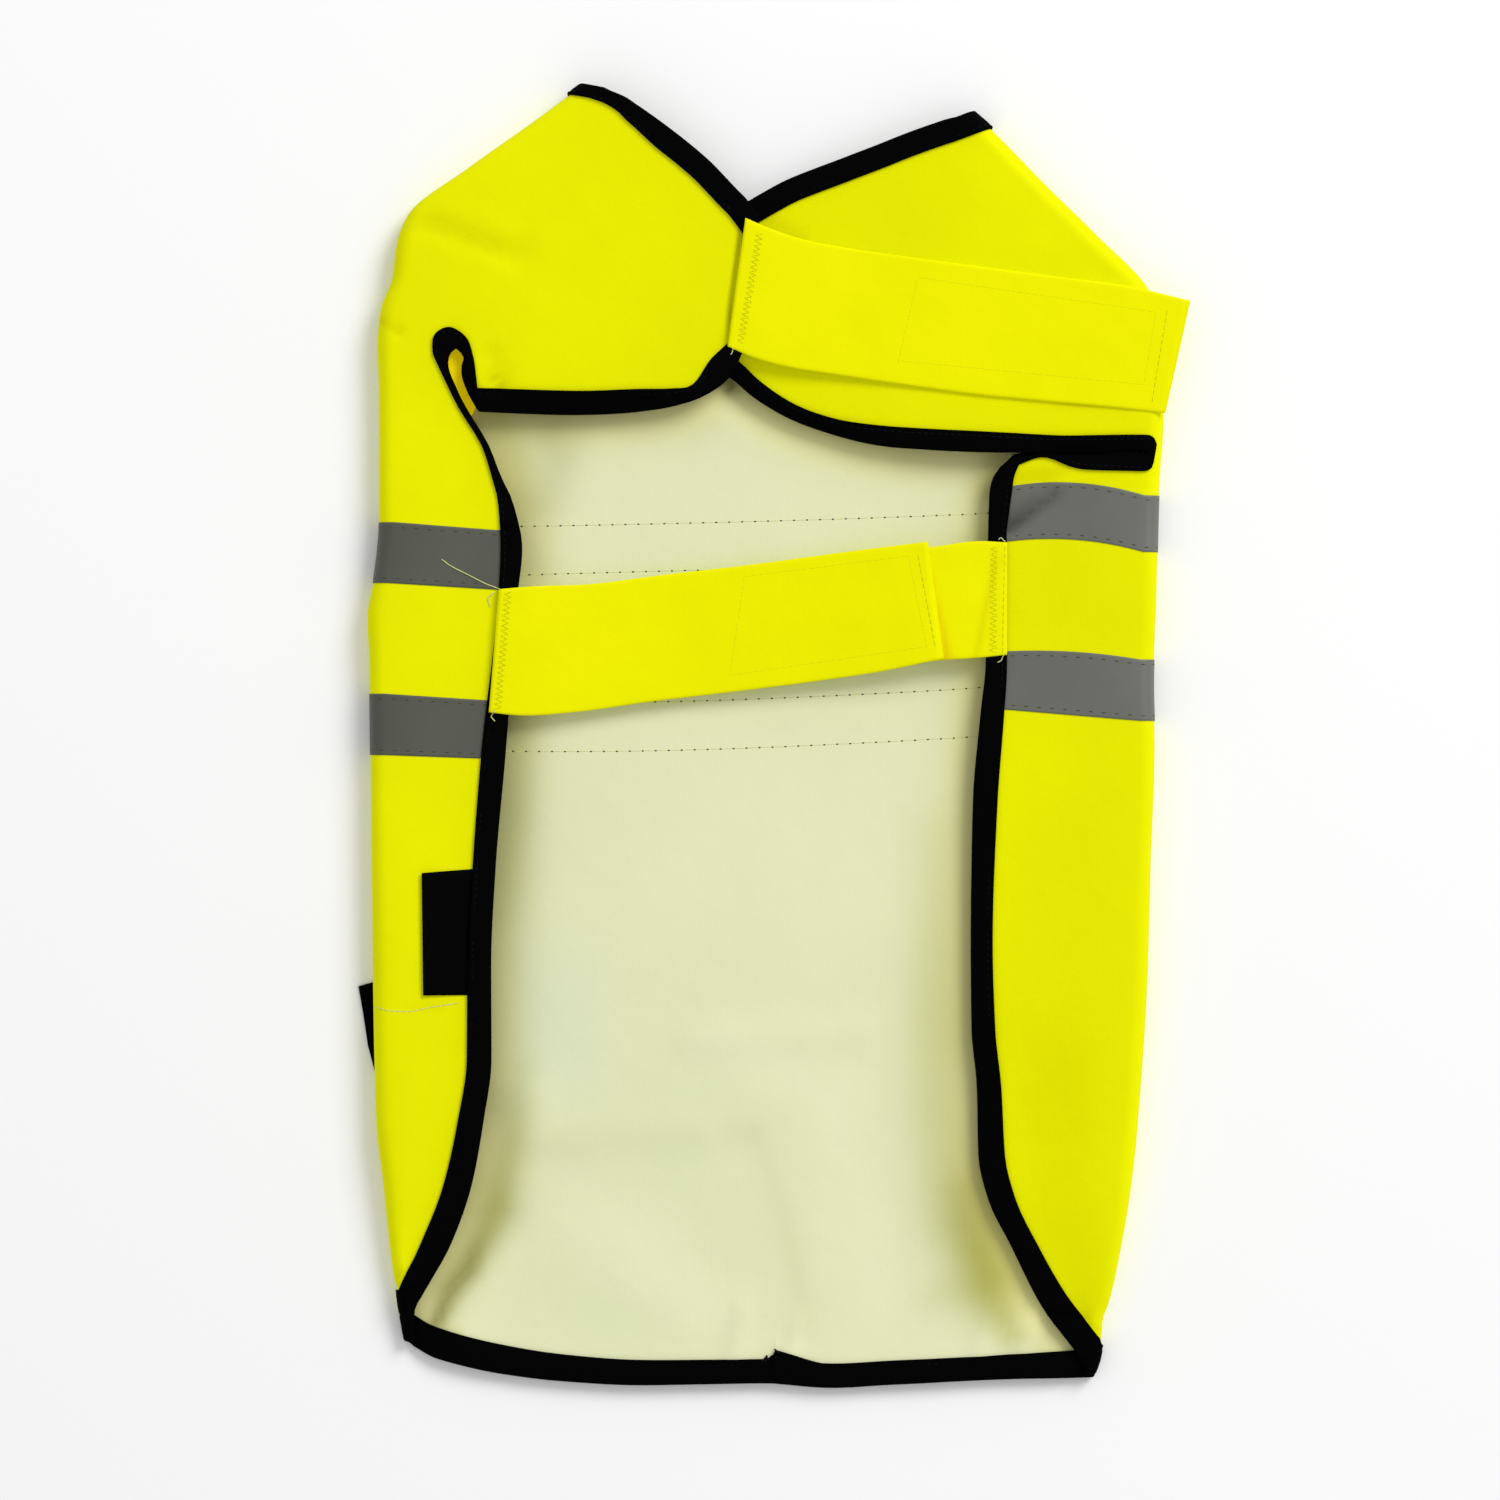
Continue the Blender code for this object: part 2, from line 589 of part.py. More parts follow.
def wall(name, surface, faces, outer, inner, moves, finish):
    """A sheet of even thickness on some faces of the surface, between two distances out of it."""
    used = sorted({v for f in faces for v in surface.faces[f]})
    number = {v: i for i, v in enumerate(used)}
    count = len(used)
    points = []
    for distance in (outer, inner):
        for v in used:
            points.append(surface.points[v] + surface.unit[v] * distance + moves.get(v, Vector()))
    quads = []
    for f in faces:
        loop = [number[v] for v in surface.faces[f]]
        quads += halves(loop)
        quads += turned(halves([i + count for i in loop]))
    for v, w in boundary(surface, faces):
        a, b = number[v], number[w]
        quads.append([b, a, a + count, b + count])
    return make_object(name, points, quads, finish)


def binding(name, surface, faces):
    """A folded binding round the free edges of some faces, a leg on each side of the cloth and a rounded nose."""
    rim = boundary(surface, faces)
    nose = {edge: f for edge, f in rim.items() if edge in surface.free}
    inside_rim = {edge: f for edge, f in rim.items() if edge not in surface.free}
    ways = inward_at_edge(surface, nose)
    ends = pulled(surface, faces, inside_rim, END_PULL)
    rings = {  # how far back from the finished edge, and how far out of the surface
        "top": (BINDING_ROUND_BACK, TRIM_OUT),
        "nose_top": (0.0, TRIM_OUT / 2),
        "nose_bottom": (0.0, -TRIM_OUT / 2),
        "bottom": (BINDING_ROUND_BACK, -TRIM_OUT),
        "core_bottom": (BINDING_CORE_BACK, -TRIM_IN),
        "core_top": (BINDING_CORE_BACK, TRIM_IN),
    }
    points = []
    number = {}
    for v in sorted({v for f in faces for v in surface.faces[f]}):
        for ring, (back, out) in rings.items():
            if v not in ways and ring.startswith("nose"):
                continue
            number[v, ring] = len(points)
            place = surface.points[v] + surface.unit[v] * out + ends.get(v, Vector())
            points.append(place + ways.get(v, Vector()) * back)
    quads = []
    for f in faces:
        for ring in ("top", "core_top", "core_bottom", "bottom"):
            layer = halves([number[v, ring] for v in surface.faces[f]])
            quads += layer if ring in ("top", "core_bottom") else turned(layer)
    strips = (("top", "nose_top"), ("nose_top", "nose_bottom"), ("nose_bottom", "bottom"), ("core_bottom", "core_top"))
    for v, w in nose:
        for near, far in strips:
            quads.append([number[w, near], number[v, near], number[v, far], number[w, far]])
    for v, w in inside_rim:
        for near, far in (("top", "core_top"), ("core_bottom", "bottom")):
            quads.append([number[w, near], number[v, near], number[v, far], number[w, far]])
    order = ("top", "nose_top", "nose_bottom", "bottom", "core_bottom", "core_top")
    starts = {v for v, w in nose}
    stops = {w for v, w in nose}
    for v in starts ^ stops:
        cap = [number[v, ring] for ring in order]
        quads.append(cap if v in stops else cap[::-1])
    return make_object(name, points, quads, "binding")


def strap(name, table):
    """A flat strap of two layers sewn together, from its table of stations."""
    stations = named(STRAP_COLUMNS, table)
    top, bottom = ([Vector((plan.x, plan.y, z)) for plan, z in zip(plan_line(stations, edge), stations["z"])]
                   for edge in ("top", "bottom"))
    surface = Surface()
    surface.patch(name, [bottom, top], 0, False)
    surface.finish()
    return wall(name, surface, surface.pick(lambda *tag: True), STRAP_HALF, -STRAP_HALF, {}, "hi_vis")


def label(name):
    """The blank woven label, lying on the left flap beside the binding that holds it."""
    rows = []
    for step in range(LABEL_STEPS + 1):
        y = mix(LABEL_BOTTOM, LABEL_TOP, step / LABEL_STEPS)
        crest = fold_points("left", y, "front")[-1]
        inner_x = edge_value("left", "inner_x", y)
        inner_z = edge_value("left", "inner_z", y)
        row = []
        for part in range(LABEL_STEPS + 1):
            x = mix(LABEL_LEFT, inner_x - LABEL_RIGHT_GAP, part / LABEL_STEPS)
            row.append(Vector((x, y, mix(crest.z, inner_z, ease((x - crest.x) / (inner_x - crest.x))))))
        rows.append(row)
    surface = Surface()
    surface.patch(name, rows, 0, False)
    surface.finish()
    everywhere = surface.pick(lambda *tag: True)
    return wall(name, surface, everywhere, TRIM_OUT + LABEL_LIFT, TRIM_IN + LABEL_LIFT, {}, "woven_label")


def tab(name):
    """The flat black tab under the left fold."""
    count = len(TAB_OUTLINE)
    points = [Vector((x, y, z)) for z in (0.0, TRIM) for x, y in TAB_OUTLINE]
    faces = [list(range(count))[::-1], list(range(count, 2 * count))]
    for i in range(count):
        j = (i + 1) % count
        faces.append([i, j, j + count, i + count])
    return make_object(name, points, faces, "binding")


def coat_surface():
    """The whole cloth: the back, two flaps and two wings, meeting along the side folds."""
    surface = Surface()
    slit = AT["slit"]
    surface.patch("back", [back_row(i) for i in range(len(ROW))], 0, True)
    for side, table, flip in (("left", LEFT_WING, False), ("right", RIGHT_WING, True)):
        wing = wing_rows(side, table)
        flap = [flap_row(side, ROW[i]) for i in range(slit + 1)]
        if side == "left":
            flap[slit] = wing[slit][:FLAP_COLUMNS + 1]
        else:
            flap[slit] = lower_lip(flap[slit])
        surface.patch(side + "_flap", flap, 0, flip)
        surface.patch(side + "_wing", [wing[i] for i in sorted(wing)], slit, flip)
    surface.finish()
    return surface


def binding_sets():
    """Which faces each stretch of binding covers."""
    slit, neck_inner, hem_inner, corner = (AT[n] for n in ("slit", "neck_inner", "hem_inner", "corner"))
    split = AT["front_top"]
    edge = FLAP_COLUMNS - 1
    lip = AT["lip"]

    def neck(patch, r, c):
        return r >= neck_inner

    def hem(patch, r, c):
        return r < hem_inner or (patch.endswith("flap") and r < corner)

    def left_side(patch, r, c):
        return patch == "left_flap" and corner <= r < split and c == edge

    def right_side(patch, r, c):
        return patch == "right_flap" and corner <= r < split and c == edge

    def left_leg(patch, r, c):
        return (patch == "left_flap" and r >= split and c == edge) or (
            patch == "left_wing" and r == slit and c >= edge)

    def right_leg(patch, r, c):
        return (patch == "right_flap" and (r >= split and c == edge or r == lip and c >= CREST - 1)) or (
            patch == "right_wing" and r == slit and c >= CREST - 1)

    return {"neck_binding": neck, "hem_binding": hem, "left_side_binding": left_side,
            "right_side_binding": right_side, "left_leg_binding": left_leg, "right_leg_binding": right_leg}


def build():
    for old in list(bpy.data.objects):
        bpy.data.objects.remove(old, do_unlink=True)
    coat = coat_surface()
    bound = {}
    cloth_moves = {}
    for name, wanted in binding_sets().items():
        faces = coat.pick(wanted)
        bound[name] = faces
        binding(name, coat, faces)
        nose = {edge: f for edge, f in boundary(coat, faces).items() if edge in coat.free}
        for v, way in inward_at_edge(coat, nose).items():
            cloth_moves[v] = way * CLOTH_BACK
    wall("body", coat, range(len(coat.faces)), CLOTH_HALF, -CLOTH_HALF, cloth_moves, "hi_vis")

    bound_points = {v for faces in bound.values() for f in faces for v in coat.faces[f]}
    for name, low, high in (("rear_reflective_tape", "rear_bottom", "rear_top"),
                            ("front_reflective_tape", "front_bottom", "front_top")):
        faces = coat.pick(lambda patch, r, c: AT[low] <= r < AT[high] and (
            patch == "back" or patch.endswith("flap") and c < FLAP_COLUMNS - 1))
        ends = [edge for edge in boundary(coat, faces) if set(edge) <= bound_points]
        wall(name, coat, faces, TRIM_OUT, TRIM_IN, pulled(coat, faces, ends, GAP + END_PULL), "reflective")

    strap("chest_strap", CHEST_STRAP)
    strap("belly_strap", BELLY_STRAP)
    strap("belly_strap_stub", BELLY_STRAP_STUB)
    label("label")
    tab("side_tab")


build()
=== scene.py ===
"""The looks of a dog's high-visibility coat, laid flat on its outer back with both sides folded in.

Tables are in millimetres: +X to the right, +Y towards the neck and +Z up from the surface that the coat lies
on. Meshes are in metres.
"""

import json
import math

import bpy
import numpy as np
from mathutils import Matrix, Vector, bvhtree, kdtree, noise

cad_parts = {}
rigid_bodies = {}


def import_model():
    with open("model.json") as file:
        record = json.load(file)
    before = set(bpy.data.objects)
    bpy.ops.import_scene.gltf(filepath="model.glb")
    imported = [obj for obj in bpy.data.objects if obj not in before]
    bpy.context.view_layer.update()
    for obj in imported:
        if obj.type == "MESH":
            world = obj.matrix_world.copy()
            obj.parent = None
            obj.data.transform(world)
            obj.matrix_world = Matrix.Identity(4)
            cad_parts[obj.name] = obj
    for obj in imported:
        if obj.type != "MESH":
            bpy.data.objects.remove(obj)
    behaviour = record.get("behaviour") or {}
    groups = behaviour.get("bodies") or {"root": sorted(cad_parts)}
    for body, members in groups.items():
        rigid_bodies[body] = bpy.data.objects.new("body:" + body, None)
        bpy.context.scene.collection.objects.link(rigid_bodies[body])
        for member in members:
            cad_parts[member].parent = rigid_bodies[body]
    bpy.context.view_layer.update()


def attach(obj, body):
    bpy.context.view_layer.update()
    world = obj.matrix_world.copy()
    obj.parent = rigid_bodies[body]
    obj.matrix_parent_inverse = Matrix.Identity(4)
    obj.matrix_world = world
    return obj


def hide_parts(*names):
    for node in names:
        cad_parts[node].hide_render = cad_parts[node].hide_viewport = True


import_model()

# ----------------------------------------------------------------------------------------------------------
# The coat's cloth: one cut of woven polyester, fluorescent yellow outside and coated cream inside. It lies on
# its outer back, both sides are folded over onto it, and the left chest wing lies on the right one. Its
# middle surface is worked out as rows from hem to neck, and the pieces sewn to it are made from those rows.

MM = 0.001
CLOTH_HALF = 0.3  # half of the cloth's thickness
BACK_Z = 1.8  # the middle of the back's cloth above the table
BINDING_WIDTH = 10.0
FOLD_ANGLES = range(0, 91, 9)
CREST = len(FOLD_ANGLES) - 1


def even(count):
    """The start of each of a span's equal steps, as shares of the span."""
    return [step / count for step in range(count)]


ACROSS_BINDING = [0.0, 0.05, 0.12, 0.2, 0.35, 0.5, 0.65, 0.8, 0.9, 0.95, 0.98]  # its rows, going outwards
FROM_BINDING = [0.0, 0.02, 0.05, 0.1, 0.2, 0.35, 0.5, 0.65, 0.8, 0.88, 0.95]  # and going inwards
ACROSS_TAPE = [0.0, 0.03, 0.08, 0.2, 0.35, 0.5, 0.65, 0.8, 0.92, 0.97]
STATION = even(6)
PLAIN_STEPS = 3 * len(STATION)  # of a flap's row, between its side fold and its binding
STRIP = CREST + PLAIN_STEPS  # the column of a flap's row where its binding starts

# Rows of the coat from hem to neck: where each crosses the flaps' edges, the side folds and the back's
# quarters, how far it bows towards the neck on the right flap, and the steps of the span that starts at it.
ROW_COLUMNS = ("left_edge", "left_fold", "left_back", "right_back", "right_fold", "right_edge", "bow")
ROWS = {
    "hem": ((-248.5, -251.5, -253.0, -256.0, -265.0, -260.5, 0.0), FROM_BINDING),
    "hem_inner": ((-237.5, -238.5, -242.0, -246.0, -252.5, -251.0, 0.0), even(4)),
    "corner": ((-226.5, -229.5, -233.0, -238.0, -240.5, -240.5, 0.0), even(10)),
    "low": ((-186.0, -188.0, -191.0, -196.0, -198.0, -197.0, 0.0), even(45)),
    "rear_bottom": ((-9.3, -7.5, -8.0, -2.5, 6.7, 12.2, 0.0), ACROSS_TAPE),
    "rear_top": ((14.6, 17.9, 16.2, 21.6, 32.1, 35.0, 2.0), even(11)),
    "front_bottom": ((60.6, 63.8, 66.2, 70.8, 76.7, 79.8, 3.8), ACROSS_TAPE),
    "front_top": ((85.1, 89.0, 90.0, 94.4, 100.1, 102.3, 4.4), even(12)),
    "lip": ((146.0, 150.0, 135.0, 118.0, 110.0, 111.4, 0.0), ACROSS_BINDING),
    "slit": ((161.0, 163.0, 147.0, 129.0, 117.6, 117.2, 0.0), FROM_BINDING),
    "leg_inner": ((0.0, 172.5, 157.0, 138.0, 125.2, 0.0, 0.0), even(12)),
    "shoulder": ((0.0, 216.5, 200.0, 184.0, 184.0, 0.0, 0.0), even(16)),
    "neck_inner": ((0.0, 266.1, 259.0, 248.0, 252.1, 0.0, 0.0), ACROSS_BINDING),
    "neck": ((0.0, 270.6, 265.0, 254.0, 259.3, 0.0, 0.0), [0.0]),
}

# The side folds: the outermost line at each Y, the fold's radius, and how far a row on the front and a row on
# the back dip towards the hem where they leave the fold, in degrees.
FOLD_COLUMNS = ("y", "x", "radius", "front_dip", "back_dip")
LEFT_FOLD = [
    (-251.5, -152.4, 1.8, 4, 45),
    (-238.5, -154.7, 2.6, 0, 14),
    (-230.5, -156.0, 3.5, 0, 7),
    (-227.0, -157.4, 3.8, 0, 5),
    (-215.0, -159.2, 4.4, 0, 2),
    (-186.0, -162.2, 5.6, 0, 0),
    (-159.0, -165.2, 6.0, 0, 0),
    (-102.0, -166.5, 6.0, 0, 0),
    (-27.0, -167.3, 6.0, 0, 0),
    (31.0, -168.0, 6.0, 0, 0),
    (50.0, -168.9, 6.0, 0, 0),
    (64.0, -166.4, 6.0, 0, 0),
    (89.0, -163.9, 6.0, 0, 0),
    (142.0, -164.0, 6.0, 0, 0),
    (163.0, -164.6, 6.0, 0, 0),
    (178.0, -163.2, 6.0, 0, 0),
    (190.0, -158.6, 6.0, 0, 4),
    (205.0, -156.6, 6.0, 2, 12),
    (217.0, -151.8, 6.0, 5, 28),
    (236.3, -126.8, 6.0, 9, 55),
    (255.8, -99.3, 6.0, 14, 75),
    (264.2, -87.9, 6.0, 9, 88),
    (270.6, -79.0, 6.0, 9, 90),
]
RIGHT_FOLD = [
    (-265.0, 132.8, 2.2, 4, 20),
    (-258.5, 135.0, 2.5, 2, 20),
    (-249.0, 136.6, 2.9, 0, 14),
    (-241.0, 137.4, 3.3, 0, 10),
    (-238.0, 138.8, 3.4, 0, 8),
    (-218.0, 143.6, 4.4, 0, 2),
    (-185.0, 149.1, 5.6, 0, 0),
    (-161.0, 151.6, 6.0, 0, 0),
    (-101.0, 155.6, 6.0, 0, 0),
    (-52.0, 157.0, 6.0, 0, 0),
    (-3.0, 158.6, 6.0, 0, 0),
    (22.0, 158.1, 6.0, 0, 0),
    (58.0, 159.3, 6.0, 0, 0),
    (103.0, 160.4, 6.0, 0, 0),
    (134.0, 162.4, 6.0, 0, 0),
    (153.0, 162.4, 6.0, 0, 0),
    (172.0, 161.2, 6.0, 0, 2),
    (184.5, 156.8, 6.0, 3, 15),
    (208.3, 134.5, 6.0, 8, 40),
    (229.6, 112.8, 6.0, 13, 58),
    (252.1, 90.7, 6.0, 19, 68),
    (259.3, 82.4, 6.0, 20, 71),
]

# The side flaps' finished edges: the edge and the binding's inner line at each Y, and the height of both.
EDGE_COLUMNS = ("y", "x", "inner_x", "inner_z", "edge_z")
LEFT_EDGE = [
    (-248.5, -149.2, -156.0, 5.6, 5.5),
    (-241.5, -149.2, -156.0, 6.6, 6.4),
    (-237.5, -148.8, -156.0, 7.1, 6.7),
    (-232.0, -145.9, -155.6, 7.8, 7.2),
    (-226.5, -142.6, -155.0, 8.2, 7.6),
    (-211.0, -134.0, -147.5, 9.2, 8.0),
    (-186.0, -125.2, -137.2, 9.8, 8.8),
    (-159.0, -120.2, -131.0, 9.8, 9.2),
    (-134.0, -117.0, -127.3, 9.8, 9.2),
    (-94.0, -117.1, -127.0, 9.8, 9.2),
    (-55.0, -115.3, -124.9, 9.8, 9.2),
    (-9.0, -111.3, -121.4, 9.8, 9.2),
    (60.0, -106.0, -114.0, 9.8, 9.2),
    (78.0, -104.2, -113.2, 9.9, 9.1),
    (97.0, -108.0, -114.3, 10.4, 8.8),
    (108.0, -113.4, -117.0, 10.9, 8.6),
    (120.0, -118.5, -120.8, 11.4, 8.6),
    (136.0, -128.0, -130.6, 12.4, 9.4),
    (146.0, -132.6, -135.6, 13.0, 10.4),
    (154.5, -134.9, -139.6, 13.5, 11.8),
    (158.5, -134.2, -141.3, 13.7, 12.6),
    (161.0, -131.6, -141.4, 13.7, 12.9),
]
RIGHT_EDGE = [
    (-260.5, 129.5, 138.0, 6.3, 6.2),
    (-251.0, 122.1, 136.4, 6.6, 5.6),
    (-240.5, 114.0, 128.6, 7.2, 5.4),
    (-232.5, 109.1, 122.4, 7.4, 5.2),
    (-211.0, 98.5, 110.0, 7.8, 5.3),
    (-192.0, 89.2, 100.8, 8.2, 5.8),
    (-174.0, 85.2, 96.3, 8.6, 6.4),
    (-145.0, 84.5, 94.7, 8.8, 6.8),
    (-121.0, 82.3, 92.2, 8.8, 6.8),
    (-85.0, 82.0, 91.1, 9.0, 7.2),
    (-28.0, 82.8, 93.0, 9.6, 8.2),
    (9.0, 85.9, 95.7, 9.8, 9.2),
    (30.0, 88.1, 97.0, 9.8, 9.2),
    (82.0, 89.1, 96.9, 9.8, 9.2),
    (100.0, 89.6, 99.1, 9.8, 9.2),
    (106.0, 90.6, 99.8, 10.2, 9.2),
    (111.4, 93.8, 102.0, 10.6, 9.2),
    (117.2, 100.3, 108.0, 10.6, 9.6),
]

# The back from the left fold to the right one: the share of a row, the finished hem and the neck edge.
BACK_COLUMNS = ("share", "hem_x", "hem_y", "neck_x", "neck_y")
BACK = [
    (0.05, -139.0, -259.0, -77.0, 246.0),
    (0.14, -113.0, -265.0, -73.0, 222.0),
    (0.23, -86.0, -268.2, -62.0, 201.0),
    (0.32, -57.0, -269.7, -44.0, 187.0),
    (0.41, -28.0, -269.3, -22.0, 181.0),
    (0.50, 0.0, -269.0, 2.0, 179.0),
    (0.504, 1.2, -269.1, 3.3, 179.1),
    (0.58, 22.0, -270.8, 27.0, 181.0),
    (0.67, 48.0, -269.6, 49.0, 187.0),
    (0.77, 77.0, -268.1, 66.0, 199.0),
    (0.86, 106.0, -267.0, 76.0, 216.0),
    (0.95, 130.6, -266.6, 81.0, 236.0),
]
BACK_STEPS = 8  # between two of the table's lines

# The chest wings from the side fold to the far end: the finished leg edge, the binding's inner line there,
# the finished neck edge, the height, and how far the leg edge drops below it.
WING_COLUMNS = ("leg_x", "leg_y", "inner_x", "inner_y", "neck_x", "neck_y", "z", "drop")
LEFT_WING = [
    (-152.8, 161.9, -152.8, 172.3, -67.6, 268.0, 13.8, 0.0),
    (-147.1, 161.8, -147.2, 170.8, -64.4, 266.7, 13.8, 0.0),
    (-141.4, 161.6, -141.2, 164.6, -60.8, 265.0, 13.8, 0.1),
    (-131.6, 161.0, -134.8, 169.9, -57.0, 262.4, 13.7, 0.9),
    (-128.4, 157.2, -127.4, 165.8, -52.0, 259.0, 13.7, 1.8),
    (-129.0, 149.6, -124.3, 157.4, -47.0, 255.4, 13.6, 2.4),
    (-126.8, 143.2, -123.2, 150.0, -41.5, 251.3, 13.6, 2.4),
    (-122.0, 134.8, -122.6, 144.6, -36.0, 247.0, 13.5, 2.0),
    (-103.0, 134.1, -102.0, 144.0, -31.0, 242.9, 13.4, 3.6),
    (-78.0, 133.8, -78.0, 143.5, -25.5, 238.0, 13.3, 4.6),
    (-54.0, 135.3, -55.5, 144.3, -20.3, 232.6, 13.3, 4.2),
    (-39.5, 137.7, -42.0, 144.5, -15.5, 227.5, 13.2, 2.4),
    (-29.5, 141.0, -35.4, 145.1, -11.0, 222.9, 13.2, 1.0),
    (-18.4, 148.8, -25.4, 157.2, -7.8, 218.8, 13.2, 0.2),
    (-12.6, 159.6, -11.2, 169.5, -4.7, 214.6, 13.2, 0.0),
]
RIGHT_WING = [
    (150.0, 118.4, 149.0, 125.3, 72.0, 256.2, 13.6, 2.0),
    (138.0, 117.8, 137.0, 125.2, 66.5, 254.4, 13.4, 2.4),
    (120.0, 118.0, 120.3, 125.0, 59.5, 252.0, 13.0, 2.4),
    (101.0, 117.9, 100.0, 126.0, 52.0, 249.2, 12.6, 1.2),
    (84.3, 118.1, 83.0, 126.9, 43.0, 245.6, 12.1, 0.8),
    (62.8, 119.2, 61.5, 128.0, 34.0, 242.2, 11.5, 1.2),
    (42.0, 121.2, 43.0, 129.4, 25.0, 238.8, 10.8, 2.0),
    (24.1, 125.8, 27.0, 131.8, 15.5, 235.3, 10.1, 2.6),
    (5.3, 132.9, 8.8, 138.2, 5.5, 231.3, 9.4, 2.2),
    (-8.9, 141.5, -5.2, 147.5, -4.5, 226.0, 8.9, 1.4),
    (-17.6, 148.8, -15.0, 156.5, -13.0, 221.0, 8.6, 0.6),
    (-27.0, 153.5, -25.5, 162.8, -21.5, 215.7, 8.5, 0.2),
    (-36.0, 157.0, -35.0, 166.8, -30.0, 210.0, 8.5, 0.0),
]

# Soft creases of the cloth as it lies: the layer, the crease's two ends, its half width and its height.
CREASES = [
    ("left", -153.9, 216.7, -105.5, 198.8, 5.0, -1.3),
    ("left", -150.0, 224.0, -112.0, 207.0, 5.0, 0.8),
    ("left", -163.9, 173.8, -155.5, 167.5, 3.0, -0.8),
    ("left", -118.0, 158.0, -112.0, 146.0, 4.0, -1.2),
    ("right", 97.4, 87.0, 116.0, 100.0, 3.2, -1.7),
    ("right", 100.0, 92.0, 118.0, 106.0, 3.4, 0.8),
    ("back", -105.5, -151.3, -134.7, -247.1, 12.0, 2.2),
    ("back", -34.7, -126.0, 36.0, -123.0, 7.0, 0.8),
    ("back", -97.2, -168.0, -30.5, -166.0, 7.0, 0.9),
    ("back", -16.0, -258.0, -13.0, -238.0, 3.0, 1.2),
    ("back", 7.0, -259.0, 10.0, -242.0, 3.0, 1.0),
    ("back", 86.0, -256.0, 92.0, -236.0, 4.0, 1.2),
    ("back", 104.0, -256.0, 112.0, -238.0, 4.0, 1.2),
]
UNDULATION = {"left": (0.5, 46.0), "right": (0.5, 52.0), "back": (0.7, 60.0)}  # the waves' height and length
WAVES_APART = 40.0  # in the noise, so that the layers' waves differ


def named(columns, table):
    """A table as a dictionary of its columns."""
    return {column: [line[i] for line in table] for i, column in enumerate(columns)}


def plan_line(stations, edge):
    """One edge of a table of stations as plan points."""
    return [Vector(place) for place in zip(stations[edge + "_x"], stations[edge + "_y"])]


def hermite(t):
    """The weights of a span's start, its slope there, its end and its slope there."""
    return 2 * t**3 - 3 * t**2 + 1, t**3 - 2 * t**2 + t, 3 * t**2 - 2 * t**3, t**3 - t**2


def smooth(xs, ys, x):
    """The value at x of a curve through (xs, ys), level where they turn, so that it never overshoots."""
    i = max(0, min(len(xs) - 2, sum(knot <= x for knot in xs) - 1))
    steps = [xs[k + 1] - xs[k] for k in range(len(xs) - 1)]
    slopes = [(ys[k + 1] - ys[k]) / steps[k] for k in range(len(steps))]

    def tangent(k):
        if k == 0 or k == len(xs) - 1:
            return slopes[0] if k == 0 else slopes[-1]
        before, after = slopes[k - 1], slopes[k]
        return 0.0 if before * after <= 0 else 2 * before * after / (before + after)

    parts = (ys[i], tangent(i) * steps[i], ys[i + 1], tangent(i + 1) * steps[i])
    return sum(weight * part for weight, part in zip(hermite((x - xs[i]) / steps[i]), parts))


def ease(t):
    """A smooth step from 0 to 1."""
    t = max(0.0, min(1.0, t))
    return t * t * (3 - 2 * t)


def mix(a, b, t):
    """A blend of a and b, which is all b where t is 1."""
    return a * (1 - t) + b * t


def curve_through(points, spans, corner=None, leave=None):
    """A smooth line through the points, with each span between two of them cut at the given shares.

    The line has a sharp corner at the point numbered corner. leave holds a point's number, a new way out of
    it and how much of that way it takes.
    """
    count = len(points)
    chords = [max((points[k + 1] - points[k]).length, 1e-6) for k in range(count - 1)]
    slopes = [(points[k + 1] - points[k]) / chords[k] for k in range(count - 1)]
    line = []
    for k, shares in enumerate(spans):
        start = slopes[0] if k == 0 else (
            (slopes[k - 1] * chords[k] + slopes[k] * chords[k - 1]) / (chords[k] + chords[k - 1]))
        end = slopes[-1] if k == count - 2 else (
            (slopes[k] * chords[k + 1] + slopes[k + 1] * chords[k]) / (chords[k + 1] + chords[k]))
        if corner == k:
            start = slopes[k]
        if corner == k + 1:
            end = slopes[k]
        if leave and leave[0] == k:
            start = mix(start, leave[1], leave[2])
        for t in shares:
            here, leaving, there, arriving = hermite(t)
            line.append(points[k] * here + start * chords[k] * leaving
                        + points[k + 1] * there + end * chords[k] * arriving)
    line.append(points[-1].copy())
    return line


LIP_RISE = 5.0  # of the rows near the right flap's top, towards the neck
SIDES = {
    "left": {"inward": 1, "fold": named(FOLD_COLUMNS, LEFT_FOLD), "edge": named(EDGE_COLUMNS, LEFT_EDGE)},
    "right": {"inward": -1, "fold": named(FOLD_COLUMNS, RIGHT_FOLD), "edge": named(EDGE_COLUMNS, RIGHT_EDGE)},
}


def row_list():
    """Every row of the coat as a dictionary, with its span's name and its share of the span."""
    rows = []
    spans = list(ROWS)
    for name, following in zip(spans, spans[1:] + spans[-1:]):
        here, shares = ROWS[name]
        there = ROWS[following][0]
        for share in shares:
            row = {key: mix(a, b, share) for key, a, b in zip(ROW_COLUMNS, here, there)}
            row.update(span=name, share=share)
            row["rise"] = LIP_RISE * {"front_top": share**2, "lip": 1 - share}.get(name, 0.0)
            rows.append(row)
    return rows


ROW = row_list()
AT = {name: next(i for i, row in enumerate(ROW) if row["span"] == name) for name in ROWS}
FOLD_INSET = 0.5  # the middle surface's outermost line inside the coat's outline
FOLD_TANGENT_REACH = 8.0  # to each side along the fold, for the way that it runs


